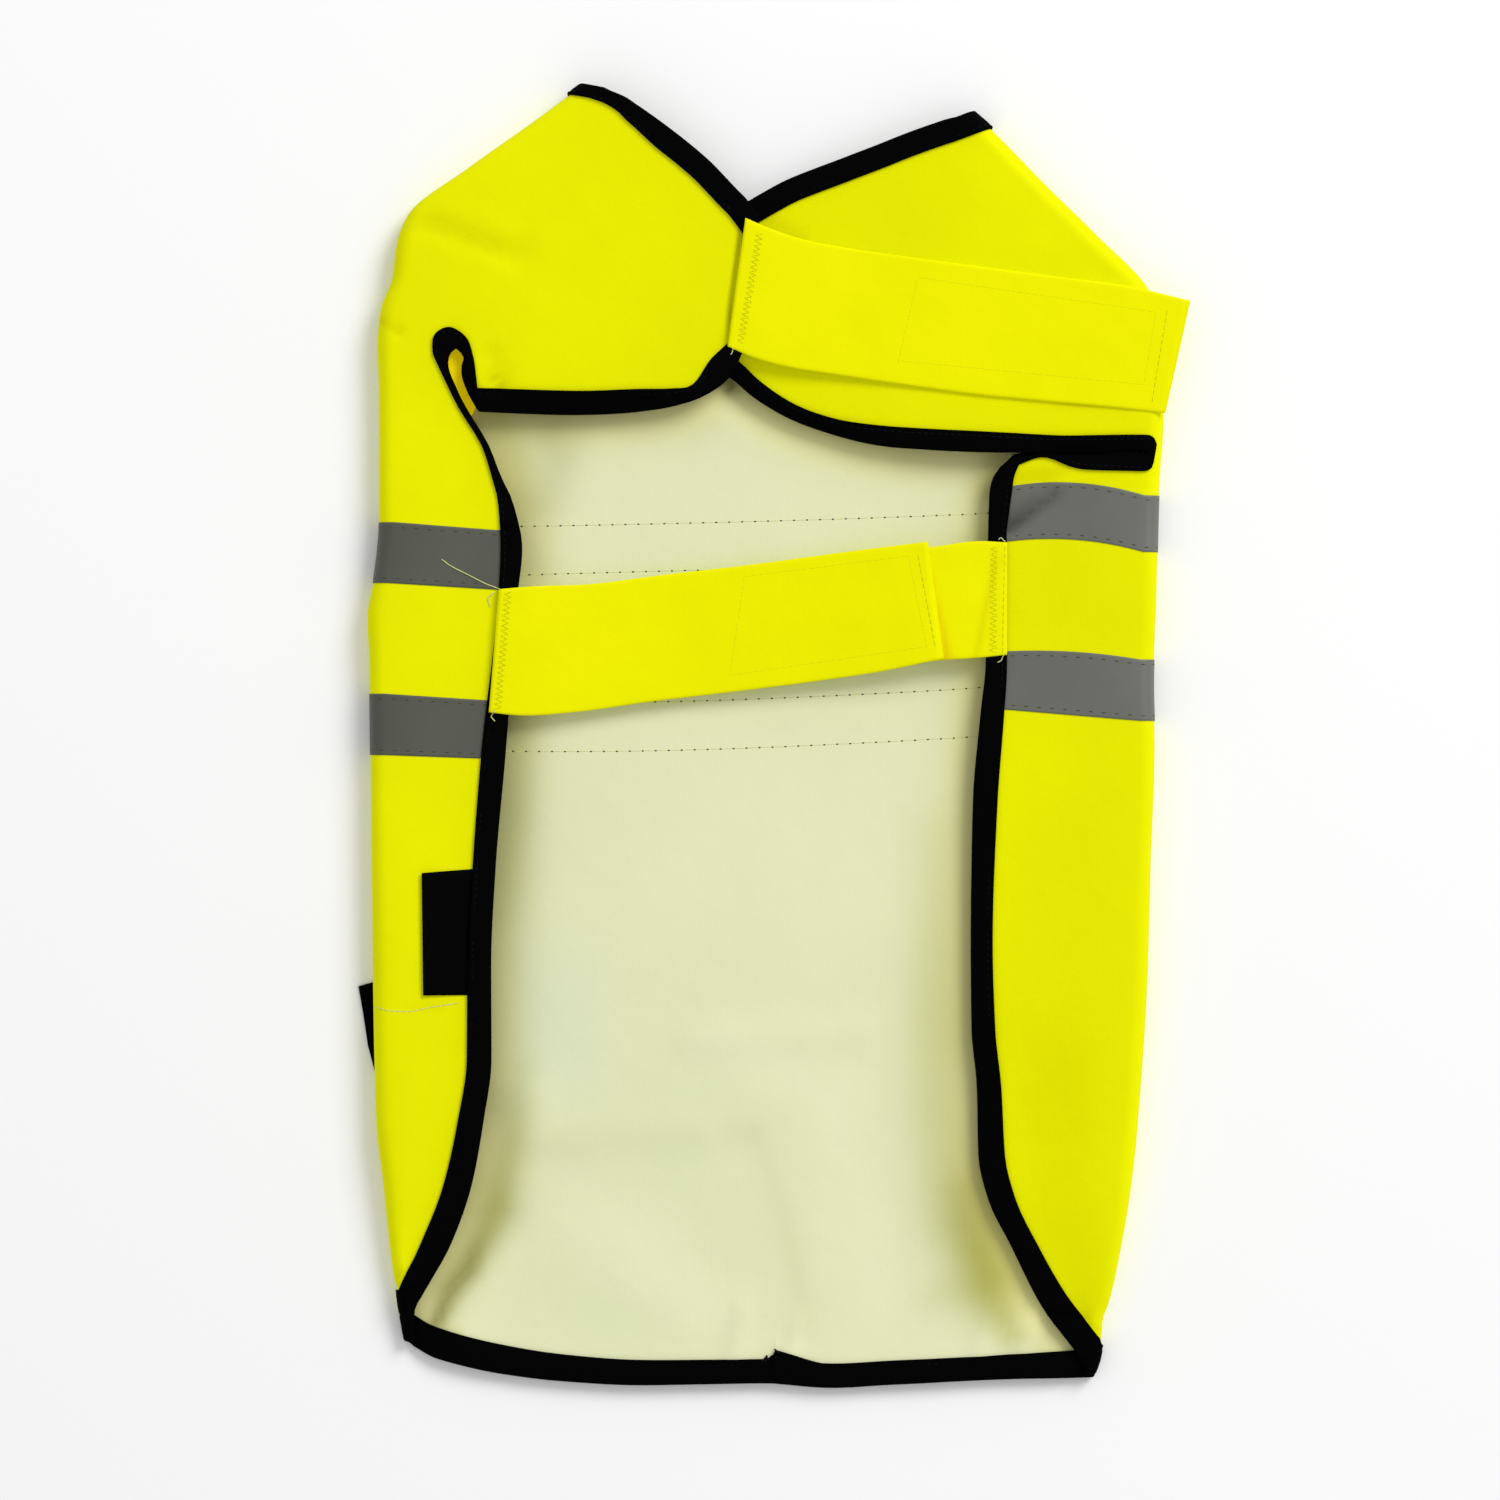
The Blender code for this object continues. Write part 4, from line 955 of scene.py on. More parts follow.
# Painted shade on the outside: darker in its creases, beside the slit and where the straps throw shadow.
YELLOW_SHADE = np.array([0.66, 0.58, 0.4])
AMBER = np.array([0.86, 0.66, 0.3])
PAINTED_OUTSIDE_SHADE = [
    (YELLOW_SHADE, [(-153.9, 216.7, 2.4, 0.2), (-105.5, 198.8, 2.4, 0.1)]),
    (YELLOW_SHADE, [(-163.9, 173.8, 1.8, 0.4), (-155.5, 167.5, 1.8, 0.3)]),
    (YELLOW_SHADE, [(-116.5, 150.5, 2.4, 0.5), (-112.5, 145.5, 2.4, 0.8)]),
    (YELLOW_SHADE, [(-5.5, 217.5, 4.0, 0.4), (11.0, 207.0, 4.0, 0.3)]),
    (DARK, [(-13.4, 214.0, 1.0, 0.8), (-19.2, 165.0, 1.0, 0.8)]),
    (AMBER, [(112.0, 139.0, 1.6, 0.1), (130.0, 138.8, 2.4, 0.6), (146.0, 136.0, 2.0, 0.3)]),
    (YELLOW_SHADE, [(99.5, 107.5, 4.0, 0.35), (118.0, 109.5, 4.0, 0.35)]),
    (YELLOW_SHADE, [(-152.0, -113.6, 1.6, 0.25), (-136.8, -111.3, 1.6, 0.2)]),
]


def toned(places, tones, marks):
    """The tones of some places, in millimetres, changed by the marks near them."""
    for colour, line in marks:
        here = np.zeros(len(places))
        for (x0, y0, *start), (x1, y1, *stop) in zip(line, line[1:]):
            run = np.array([x1 - x0, y1 - y0])
            spots = places[:, :2] - (x0, y0)
            share = np.clip(spots @ run / (run @ run), 0.0, 1.0)[:, None]
            width, depth = (np.array(start) * (1 - share) + np.array(stop) * share).T
            away = np.linalg.norm(spots - share * run, axis=1)
            here = np.maximum(here, depth * np.exp(-(away / width) ** 2))
        tones = tones * (1 - here[:, None] * (1 - colour))
    return tones


def places_of(piece):
    """Where a piece's points are, in millimetres."""
    return np.array([tuple(vertex.co) for vertex in piece.data.vertices]) / MM


def keep_tone(piece, name, tones):
    """Keep a tone on each point of a piece."""
    kept = piece.data.attributes.new(name, "FLOAT_COLOR", "POINT")
    kept.data.foreach_set("color", np.concatenate([tones, np.ones((len(tones), 1))], axis=1).ravel())


# The inside also takes a warm painted shade where the yellow sides lie over it and near their edges, for
# their shade and the yellow light they throw on it, and a cooler tone in a faded patch.
COVER_SHADE = np.array([0.93, 0.87, 0.6])
COVER_REACH = 13.0  # how far past the upper layers' edges
SELF_COVER = 0.5  # how far the upper layers' own inside takes it
COOL_TONE = np.array([0.955, 0.985, 1.05])
COOL_PATCH = (-89.0, -120.5, 19.0, 34.0)  # its middle and half sizes
UPPER_Z = BACK_Z + 3.0  # the flaps and wings lie above this, and the back below it

upper_edges = [Vector((*coat.points[v][:2], 0.0)) for v, w in coat.free if coat.points[v].z > UPPER_Z]
on_plan = nearest([Vector((*point[:2], 0.0)) for point in coat.points], upper_edges)
upper_faces = [face for face, tag in zip(coat.faces, coat.tags) if tag[0] != "back"]
upper = bvhtree.BVHTree.FromPolygons(coat.points, upper_faces)
inside_tone = np.ones((len(coat.points), 3))
for v, point in enumerate(coat.points):
    covered = math.exp(-(on_plan[v] / COVER_REACH) ** 2)
    above = Vector((point.x, point.y, UPPER_Z + 0.5))
    if point.z > UPPER_Z:
        covered = SELF_COVER
    elif upper.ray_cast(above, Vector((0, 0, 1)))[0]:
        covered = 1.0
    inside_tone[v] *= 1 - covered * (1 - COVER_SHADE)
    x, y, half_x, half_y = COOL_PATCH
    here = math.exp(-(((point.x - x) / half_x) ** 4 + ((point.y - y) / half_y) ** 4))
    inside_tone[v] *= 1 - here * (1 - COOL_TONE)
inside_tone = toned(coat.place, inside_tone, PAINTED_SHADE_AND_LIGHT)
outside_tone = toned(coat.place, np.ones((len(coat.points), 3)), PAINTED_OUTSIDE_SHADE)
outside_tone[coat.place[:, 2] < UPPER_Z] = 1.0
used = sorted({v for f in cloth_faces for v in coat.faces[f]})
keep_tone(cloth, "cover_tone", np.concatenate([outside_tone[used], inside_tone[used]]))

# Behind the left slit, the turned-in allowance of the yellow cloth, which shows through the slit. It hangs
# from the flap's inside.
FACING_LEFT = [(131.0, -132.5), (147.0, -143.0), (155.0, -148.0), (168.0, -148.5)]  # Y, and X there
FACING_RIGHT = [
    (131.0, -127.5), (134.0, -125.0), (139.0, -123.0), (144.0, -121.5), (150.0, -120.0), (168.0, -120.0)]
FACING_FALL = [(0.0, 12.9), (0.2, 11.8), (0.4, 10.0), (0.6, 9.1), (0.8, 8.6), (1.0, 8.4)]  # its height
FACING_SAG = 1.6  # of its end towards the hem
FACING_RIPPLE = 0.35
RIPPLE_RUN = (1.8, 6.0)  # how slowly it runs along X and Y
FACING_STEPS = 15
FACING_COLUMNS = 12
FACING_HALF = 0.25
# A shaded copy of the yellow cloth: its deeper orange is painted shade, and its stronger glow is painted
# light for the light that comes through the yellow cloth into the hollow.
SHADED_YELLOW = yellow_face(
    "shaded_cloth", (0.76, 0.6, 0.0), (0.84, 0.68, 0.0), glow=(0.95, 0.68, 0.0), strength=0.3)
rows = []
for step in range(FACING_STEPS + 1):
    y = mix(FACING_LEFT[0][0], FACING_LEFT[-1][0], step / FACING_STEPS)
    left, right = (np.interp(y, *zip(*edge)) for edge in (FACING_LEFT, FACING_RIGHT))
    row = []
    for share in even(FACING_COLUMNS) + [1.0]:
        x = mix(left, right, share)
        ripple = FACING_RIPPLE * math.sin(x / RIPPLE_RUN[0] + y / RIPPLE_RUN[1]) * min(1.0, 3 * share)
        z = np.interp(share, *zip(*FACING_FALL)) + ripple - FACING_SAG * (1 - step / FACING_STEPS)
        row.append(Vector((x, y, z)))
    rows.append(row)
allowance = flat_surface("facing", rows)
every_face = range(len(allowance.faces))
facing = wall("slit_facing_cloth", allowance, every_face, FACING_HALF, -FACING_HALF, [SHADED_YELLOW])

# ----------------------------------------------------------------------------------------------------------
# The bindings: black ribbed tape, folded in half over each raw edge and sewn through. It is one long piece in
# each stretch, ten millimetres deep on both faces of the cloth, and its folded edge stands a little proud.

BINDING_IN = 0.8  # at its sewn edges, out of the cloth's middle
BINDING_OUT = 1.8
BINDING_CORE = 0.6  # where its inner faces lie against the cloth
BINDING_NOSE = 1.5  # over which the folded edge rounds off
BINDING_HEEL = 0.7  # over which the sewn edge rounds off
HEEL_START = 0.15  # how far round its heel the sewn edge starts
STITCH_GROOVE = (1.6, 0.5, 0.3)  # how far in from the sewn edge, its half width and its depth
LUMP_HEIGHT = 0.12
LUMPS = ((1.0, 7.0), (0.5, 2.5))  # shares of that height, and their lengths
CORE_STOPS = 0.8 * CLOTH_STOPS  # its inside reaches a little past the cloth's raw edge


def binding_sets():
    """Which faces of the cloth each stretch of binding covers."""
    neck_inner, hem_inner, leg_inner, corner, lip, split = (
        AT[name] for name in ("neck_inner", "hem_inner", "leg_inner", "corner", "lip", "front_top"))

    def neck(patch, r, c):
        return r >= neck_inner

    def hem(patch, r, c):
        return r < hem_inner or r < corner and (patch == "left_flap" or patch == "right_flap" and c >= STRIP)

    def left_side(patch, r, c):
        return patch == "left_flap" and corner <= r < split and c >= STRIP

    def right_side(patch, r, c):
        return patch == "right_flap" and corner <= r < split and c >= STRIP

    def left_leg(patch, r, c):
        return c >= STRIP and (patch == "left_flap" and r >= split or patch == "left_wing" and r < leg_inner)

    def right_leg(patch, r, c):
        on_flap = patch == "right_flap" and (r >= split and c >= STRIP or r >= lip and c >= SLIT_END)
        return on_flap or patch == "right_wing" and r < leg_inner and c >= SLIT_END

    return {"neck": neck, "hem": hem, "left_side": left_side, "right_side": right_side,
            "left_leg": left_leg, "right_leg": right_leg}


BINDING_FACES = {name: set(coat.pick(wanted)) for name, wanted in binding_sets().items()}


def rounded(distance, reach):
    """From 0 at an edge to 1 a reach away from it, as a quarter circle rises."""
    share = np.clip(distance / reach, 0.0, 1.0)
    return np.sqrt(1 - (1 - share) ** 2)


def binding(name, own, all_bound):
    """A stretch of binding over some of the coat's faces: two legs and a round fold, open to the cloth."""
    own = sorted(own)
    rim = boundary([coat.faces[f] for f in own])
    fold = rim & coat.free
    inner = boundary([coat.faces[f] for f in all_bound]) & rim - fold
    used = sorted({v for f in own for v in coat.faces[f]})
    places = [coat.points[v] for v in used]
    from_fold = nearest(places, [coat.points[v] for v, w in fold])
    from_inner = nearest(places, [coat.points[v] for v, w in inner])
    line, width, depth = STITCH_GROOVE
    lumps = sum(part * np.array([noise.noise(place / size) for place in places]) for part, size in LUMPS)
    leg = BINDING_OUT - (BINDING_OUT - BINDING_IN) * (1 - rounded(from_inner + HEEL_START, BINDING_HEEL))
    leg = leg - depth * np.exp(-((from_inner - line) / width) ** 2) + LUMP_HEIGHT * lumps
    outside = leg * rounded(from_fold, BINDING_NOSE)
    core_faces = [f for f in own if from_edge[coat.faces[f]].mean() > CORE_STOPS]
    core = {v for f in core_faces for v in coat.faces[f]}
    on_fold = {v for edge in fold for v in edge}
    points, runs, number = [], [], {}

    def add(v, ring, distance):
        number[v, ring] = len(points)
        points.append(coat.place[v] + coat.unit[v] * distance)
        runs.append(coat.run[v])

    for k, v in enumerate(used):
        if v in on_fold:
            add(v, "top", 0.0)
            number[v, "bottom"] = number[v, "top"]
        else:
            add(v, "top", outside[k])
            add(v, "bottom", -outside[k])
        if v in core:
            add(v, "core_top", BINDING_CORE)
            add(v, "core_bottom", -BINDING_CORE)
    quads = []
    for f in own:
        quads.append([number[v, "top"] for v in coat.faces[f]])
        quads.append([number[v, "bottom"] for v in coat.faces[f]][::-1])
    for f in core_faces:
        quads.append([number[v, "core_top"] for v in coat.faces[f]][::-1])
        quads.append([number[v, "core_bottom"] for v in coat.faces[f]])
    core_rim = boundary([coat.faces[f] for f in core_faces])
    for v, w in core_rim - (rim - fold):
        quads.append([number[v, "core_top"], number[w, "core_top"],
                      number[w, "core_bottom"], number[v, "core_bottom"]])
    for v, w in rim - fold:
        if (v, w) in core_rim:
            for near, far in (("top", "core_top"), ("core_bottom", "bottom")):
                quads.append([number[w, near], number[v, near], number[v, far], number[w, far]])
        else:
            rings = ("top", "core_top", "core_bottom", "bottom")
            loop = [number[v, ring] for ring in rings if (v, ring) in number]
            loop += [number[w, ring] for ring in rings[::-1] if (w, ring) in number]
            quads.append(list(dict.fromkeys(loop)))
    piece = solid(name, points, quads, [BLACK_BINDING], runs)
    return piece


def ribbed_black(name):
    """Black polyester binding tape, which hardly shines."""
    made, nodes, links, shader = principled(name, (0.0008, 0.0009, 0.0009), roughness=0.85)
    shader.inputs["Specular IOR Level"].default_value = 0.02
    add_bump(nodes, links, shader, add_crumple(nodes, links, scale=180.0), distance=0.0005, strength=0.4)
    add_bump(nodes, links, shader, add_weave(nodes, links, pitch=0.0008), distance=0.00012, strength=0.6)
    return made


BLACK_BINDING = ribbed_black("black_binding")
all_bound = set().union(*BINDING_FACES.values())
for stretch, own in BINDING_FACES.items():
    edging = binding(stretch + "_edging", own, all_bound)
    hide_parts(stretch + "_binding")

# ----------------------------------------------------------------------------------------------------------
# The reflective tapes: two bands of grey glass-bead tape, 25 mm wide, sewn flat across the outer face from
# one flap's binding over the side folds and the back to the other's.

TAPE_IN = 0.34
TAPE_OUT = 0.62
TAPE_TUCK = 4  # columns that it runs in under the bindings
LEFT_SHADE = np.array([0.54, 0.54, 0.48])  # painted shade: the left ends are darker, away from the light
SHADE_FROM, SHADE_TO = -160.0, 140.0
TAPE_CREASE_SHADE = np.array([0.42, 0.42, 0.4])  # and painted shade in a crease near the right binding
PAINTED_TAPE_SHADE = [
    (TAPE_CREASE_SHADE, [(96.8, 86.2, 2.6, 1.0), (105.0, 91.5, 2.4, 0.9), (117.0, 100.5, 1.8, 0.5)]),
    (TAPE_CREASE_SHADE, [(96.0, 91.0, 5.0, 0.5), (108.0, 98.5, 3.0, 0.3)]),
]


def grey_reflective(name):
    """Grey glass-bead tape: a fine dull sparkle over a faintly uneven grey."""
    made, nodes, links, shader = principled(name, (0.14, 0.145, 0.125), roughness=0.5)
    add_tone(nodes, links, shader, (0.135, 0.14, 0.12), (0.15, 0.155, 0.135), scale=40.0)
    # painted shade kept on the points: the left ends and a crease darker
    multiply_by(nodes, links, shader, "wear_tone")
    shader.inputs["Metallic"].default_value = 0.2
    add_bump(nodes, links, shader, add_crumple(nodes, links, scale=70.0), distance=0.0005, strength=0.4)
    add_bump(nodes, links, shader, add_crumple(nodes, links, scale=2500.0), distance=0.00005, strength=0.5)
    return made


REFLECTIVE = grey_reflective("reflective_tape")
TAPES = {"rear": ("rear_bottom", "rear_top"), "front": ("front_bottom", "front_top")}
for tape, (low, high) in TAPES.items():
    faces = coat.pick(lambda patch, r, c: AT[low] <= r < AT[high] and (
        patch == "back" or patch.endswith("flap") and c < STRIP + TAPE_TUCK))
    band = wall(tape + "_band", coat, faces, TAPE_OUT, TAPE_IN, [REFLECTIVE])
    places = places_of(band)
    share = np.clip((places[:, :1] - SHADE_FROM) / (SHADE_TO - SHADE_FROM), 0.0, 1.0)
    keep_tone(band, "wear_tone", toned(places, mix(LEFT_SHADE, np.ones(3), share), PAINTED_TAPE_SHADE))
    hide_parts(tape + "_reflective_tape")

# ----------------------------------------------------------------------------------------------------------
# The straps: the coat's own yellow cloth, doubled and turned, with hook-and-loop tape inside the overlap. The
# chest strap is sewn to the left wing's end, the belly strap to the left flap, its stub to the right one.

STRAP_COLUMNS = ("top_x", "top_y", "bottom_x", "bottom_y", "z")
CHEST_STRAP = [
    (-11.6, 215.0, -19.0, 161.8, 15.6),
    (-1.5, 210.6, -8.5, 157.2, 15.5),
    (13.0, 206.0, 6.0, 153.2, 14.7),
    (30.0, 202.8, 24.0, 150.4, 13.7),
    (60.0, 198.5, 54.0, 146.0, 13.2),
    (90.0, 194.4, 86.0, 141.7, 13.4),
    (120.0, 190.4, 114.0, 139.0, 14.1),
    (146.0, 187.0, 140.0, 136.6, 14.6),
    (172.8, 180.8, 162.4, 134.2, 14.5),
]
BELLY_STRAP = [
    (-113.9, 61.3, -118.0, 10.2, 12.2),
    (-101.0, 62.4, -105.5, 8.9, 12.0),
    (-76.8, 63.4, -82.0, 10.3, 9.8),
    (-46.0, 67.3, -52.0, 14.5, 8.6),
    (-9.0, 71.6, -15.0, 18.9, 8.7),
    (24.0, 76.0, 17.0, 23.0, 9.8),
    (47.0, 78.9, 44.5, 27.1, 12.0),
    (64.1, 81.0, 70.7, 32.5, 13.4),
]
BELLY_STRAP_STUB = [
    (34.0, 74.5, 34.0, 28.5, 9.4),
    (52.0, 76.8, 54.0, 30.2, 11.1),
    (70.0, 79.4, 71.6, 31.9, 12.2),
    (84.0, 81.2, 86.0, 32.9, 12.3),
    (97.0, 80.7, 96.9, 34.1, 12.3),
]
STRAPS = {"chest_strap": CHEST_STRAP, "belly_strap": BELLY_STRAP, "belly_strap_stub": BELLY_STRAP_STUB}
STRAP_STEPS = 8  # between two of a table's stations
STRAP_HALF = 0.7
STRAP_EDGE = 0.35  # the share of that which is left at its edges
STRAP_ROUNDING = 1.2  # over which its edges thin
END_START = 0.4  # how far round that thinning its ends start, because they are cut blunt
STRAP_WAVES = (0.25, 16.0)  # their height and length
# Painted shade on the belly strap's stub: an amber shadow beside the strap's end, and a soft crease.
PAINTED_STUB_SHADE = [
    (AMBER, [(61.5, 80.0, 1.3, 0.7), (68.0, 52.0, 1.8, 0.8), (71.5, 33.0, 2.6, 1.0)]),
    (YELLOW_SHADE, [(92.0, 72.5, 1.5, 0.35), (84.0, 33.0, 1.5, 0.35)]),
]
STRAP_YELLOW = yellow_face("strap_cloth", (0.73, 0.715, 0.0), (0.765, 0.75, 0.0), tone="cover_tone")
STRAP_RIM = [0.0, 0.01, 0.025, 0.05, 0.09]  # shares of its width, from one edge
STRAP_MIDDLE = [0.15 + 0.7 * k / 14 for k in range(15)]
ACROSS_STRAP = STRAP_RIM + STRAP_MIDDLE + [1 - share for share in STRAP_RIM[::-1]]


def strap(name, table):
    """A flat strap of doubled cloth with rounded edges, from its table of stations."""
    stations = named(STRAP_COLUMNS, table)
    spans = [even(STRAP_STEPS)] * (len(table) - 1)

    def edge_line(edge):
        places = [Vector((*plan, z)) for plan, z in zip(plan_line(stations, edge), stations["z"])]
        return curve_through(places, spans)

    top, bottom = edge_line("top"), edge_line("bottom")
    rows = []
    for share in ACROSS_STRAP:
        rows.append([mix(low, high, share) for low, high in zip(bottom, top)])
        for place in rows[-1]:
            place.z += STRAP_WAVES[0] * noise.noise(place / STRAP_WAVES[1])
    surface = flat_surface(name, rows)
    half = []
    for r, row in enumerate(rows):
        for c, place in enumerate(row):
            side = min((place - rows[0][c]).length, (place - rows[-1][c]).length)
            end = min((place - row[0]).length, (place - row[-1]).length)
            full = min(rounded(side, STRAP_ROUNDING), rounded(end + END_START, STRAP_ROUNDING))
            half.append(STRAP_HALF * mix(STRAP_EDGE, 1.0, full))
    half = np.array(half)
    piece = wall(name, surface, range(len(surface.faces)), half, -half, [STRAP_YELLOW])
    return piece


for name, table in STRAPS.items():
    webbing = strap(name + "_cloth", table)
    # Painted shade is kept on the stub only.
    marks = PAINTED_STUB_SHADE if name == "belly_strap_stub" else []
    places = places_of(webbing)
    keep_tone(webbing, "cover_tone", toned(places, np.ones_like(places), marks))
    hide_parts(name)

# ----------------------------------------------------------------------------------------------------------
# The label on the left flap, black and woven, flat and held by the side binding. The flat black tab is sewn
# in behind the left fold.

LABEL_LEFT = (-145.3, -145.9)  # at its bottom and at its top
LABEL_TOP = (-56.4, -54.6)  # at its left end and at the binding
LABEL_BOTTOM = -107.2
LABEL_TUCK = 3.0  # past the binding's inner line
LABEL_LIFT = 1.3  # of its left end off the flap
LABEL_LEVELS = (0.75, 0.4)  # its two faces above the flap's middle
LABEL_STEPS = 24
LABEL_COLUMNS = 12


def woven_black(name):
    """Close black satin weave."""
    made, nodes, links, shader = principled(name, (0.0011, 0.0011, 0.0013), roughness=0.7)
    shader.inputs["Specular IOR Level"].default_value = 0.015
    add_bump(nodes, links, shader, add_weave(nodes, links, pitch=0.0004), distance=0.00006, strength=0.6)
    return made


WOVEN_BLACK = woven_black("woven_label")

rows = []
for step in range(LABEL_STEPS + 1):
    up = step / LABEL_STEPS
    y = mix(LABEL_BOTTOM, LABEL_TOP[0], up)
    crest = fold_points("left", y, "front")[-1]
    inner_x, inner_z = (edge_value("left", column, y) for column in ("inner_x", "inner_z"))
    row = []
    for part in even(LABEL_COLUMNS) + [1.0]:
        x = mix(mix(*LABEL_LEFT, up), inner_x + LABEL_TUCK, part)
        z = mix(crest.z, inner_z, ease((x - crest.x) / (inner_x - crest.x)))
        z += drape("left", Vector((x, y, 0))) + LABEL_LIFT * (1 - part) ** 2
        row.append(Vector((x, y + (LABEL_TOP[1] - LABEL_TOP[0]) * part * up, z)))
    rows.append(row)
surface = flat_surface("label", rows)
label = wall("woven_side_label", surface, range(len(surface.faces)), *LABEL_LEVELS, [WOVEN_BLACK])
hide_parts("label")

TAB_OUTLINE = [
    (-172.8, -103.8),
    (-170.8, -115.3),
    (-168.9, -128.3),
    (-166.0, -139.2),
    (-146.0, -134.0),
    (-146.0, -96.5),
]
TAB_LEVELS = (0.1, 0.9)
count = len(TAB_OUTLINE)
points = [(x, y, z) for z in TAB_LEVELS for x, y in TAB_OUTLINE]
faces = [list(range(count))[::-1], list(range(count, 2 * count))]
faces += [[i, (i + 1) % count, (i + 1) % count + count, i + count] for i in range(count)]
tab = solid("side_tab_cloth", points, faces, [BLACK_BINDING])
tab.data.polygons.foreach_set("use_smooth", [False] * len(faces))
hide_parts("side_tab")

# ----------------------------------------------------------------------------------------------------------
# The sewing: the two rows of lockstitch along each tape, which show on the coated inside as well, the rows
# along the bindings, the bars at the straps' ends, the tab's seam on the left flap, and a few loose threads.

TAPE_STITCH = 5.4  # from one stitch to the next
BINDING_STITCH = 2.8
STRAP_STITCH = 3.0
BAR_STITCH = 1.3
TAB_STITCH = 2.4
SUNK = 0.05  # how little the middles of the straps' and the tab's stitches stand above the cloth


def seam_on(patch, row=None, column=None, first=0, last=None, side=1):
    """A line along a row or a column of the cloth, as pairs of a place on its middle and the way out."""
    if row is not None:
        line = coat.grid[patch, row][first:last]
    else:
        line = [coat.grid[patch, r][column] for r in range(first, last)]
    return [(coat.place[v], coat.unit[v] * side) for v in line]


NEARBY = 0.4  # along a line to each side of a place, for the way that it runs


def spaced(line, spacing, start=0.0):
    """Places, ways along and ways out at an even spacing along a line."""
    places = np.array([place for place, out in line])
    outs = np.array([out for place, out in line])
    travelled = np.concatenate([[0.0], np.cumsum(np.linalg.norm(np.diff(places, axis=0), axis=1))])
    at = np.arange(start, travelled[-1], spacing)

    def sampled(where, values):
        return np.stack([np.interp(where, travelled, values[:, axis]) for axis in range(3)], axis=1)

    spots = sampled(at, places)
    up = sampled(at, outs)
    along = sampled(at + NEARBY, places) - sampled(at - NEARBY, places)
    along /= np.linalg.norm(along, axis=1)[:, None]
    across = np.cross(up, along)
    across /= np.linalg.norm(across, axis=1)[:, None]
    return spots, along, across, np.cross(along, across)


bpy.ops.object.select_all(action="DESELECT")
bpy.ops.mesh.primitive_uv_sphere_add(segments=8, ring_count=4, radius=0.5)
bead = bpy.context.object
bead_points = np.array([tuple(vertex.co) for vertex in bead.data.vertices])
bead_faces = [list(face.vertices) for face in bead.data.polygons]
bpy.ops.object.delete()

# The new sphere's points and faces come in another order each time, so both are put in one order.
order = sorted(range(len(bead_points)), key=lambda v: tuple(bead_points[v]))
bead_points = bead_points[order]
bead_faces = [[order.index(v) for v in face] for face in bead_faces]
starts = [face.index(min(face)) for face in bead_faces]
bead_faces = sorted(face[start:] + face[:start] for face, start in zip(bead_faces, starts))


def stitches(name, lines, finish, spacing, size, lift, start=0.5):
    """One mesh of stitches along some lines, each a bead of thread of a length, width and height.

    start is the share of a spacing that comes before a line's first stitch.
    """
    length, width, height = size
    points, faces = [], []
    for line in lines:
        for spot, along, across, up in zip(*spaced(line, spacing, start * spacing)):
            first = len(points)
            turned = (bead_points[:, :1] * length * along + bead_points[:, 1:2] * width * across
                      + bead_points[:, 2:] * height * up)
            points.extend(turned + spot + up * lift)
            faces.extend([[first + v for v in face] for face in bead_faces])
    piece = solid(name, points, faces, [finish])


def thread_finish(name, colour, shade=0.75):
    """Sewing thread, with a darker twist."""
    made, nodes, links, shader = principled(name, colour, roughness=0.6)
    darker = tuple(value * shade for value in colour)
    add_tone(nodes, links, shader, darker, colour, scale=900.0)
    shader.inputs["Specular IOR Level"].default_value = 0.1
    add_bump(nodes, links, shader, add_crumple(nodes, links, scale=3000.0), distance=0.0001, strength=0.6)
    return made


OLIVE_THREAD = thread_finish("olive_thread", (0.07, 0.075, 0.02))
YELLOW_THREAD = thread_finish("yellow_thread", (0.74, 0.75, 0.0))
FASTENER_THREAD = thread_finish("fastener_thread", (0.8, 0.79, 0.0), shade=0.97)
PALE_THREAD = thread_finish("pale_thread", (0.72, 0.74, 0.3))
BLACK_THREAD = thread_finish("black_thread", (0.004, 0.004, 0.004))

TAPE_SEAMS = (0.08, 0.92)  # shares of a tape's width
tape_rows = [AT[low] + ACROSS_TAPE.index(share) for low, high in TAPES.values() for share in TAPE_SEAMS]
outer_seams = []
for row in tape_rows:
    outer_seams += [seam_on(patch, row, last=STRIP + 1) for patch in ("left_flap", "right_flap")]
    outer_seams.append(seam_on("back", row))
stitches("tape_stitches", outer_seams, OLIVE_THREAD, TAPE_STITCH, (1.9, 0.42, 0.3), TAPE_OUT)
inner_seams = [seam_on("back", row, side=-1) for row in tape_rows]
stitches("inside_stitch_ends", inner_seams, OLIVE_THREAD, TAPE_STITCH, (1.1, 0.65, 0.4), CLOTH_HALF)
stitches("inside_stitches", inner_seams, PALE_THREAD, TAPE_STITCH, (4.4, 0.3, 0.16), CLOTH_HALF, start=1.0)

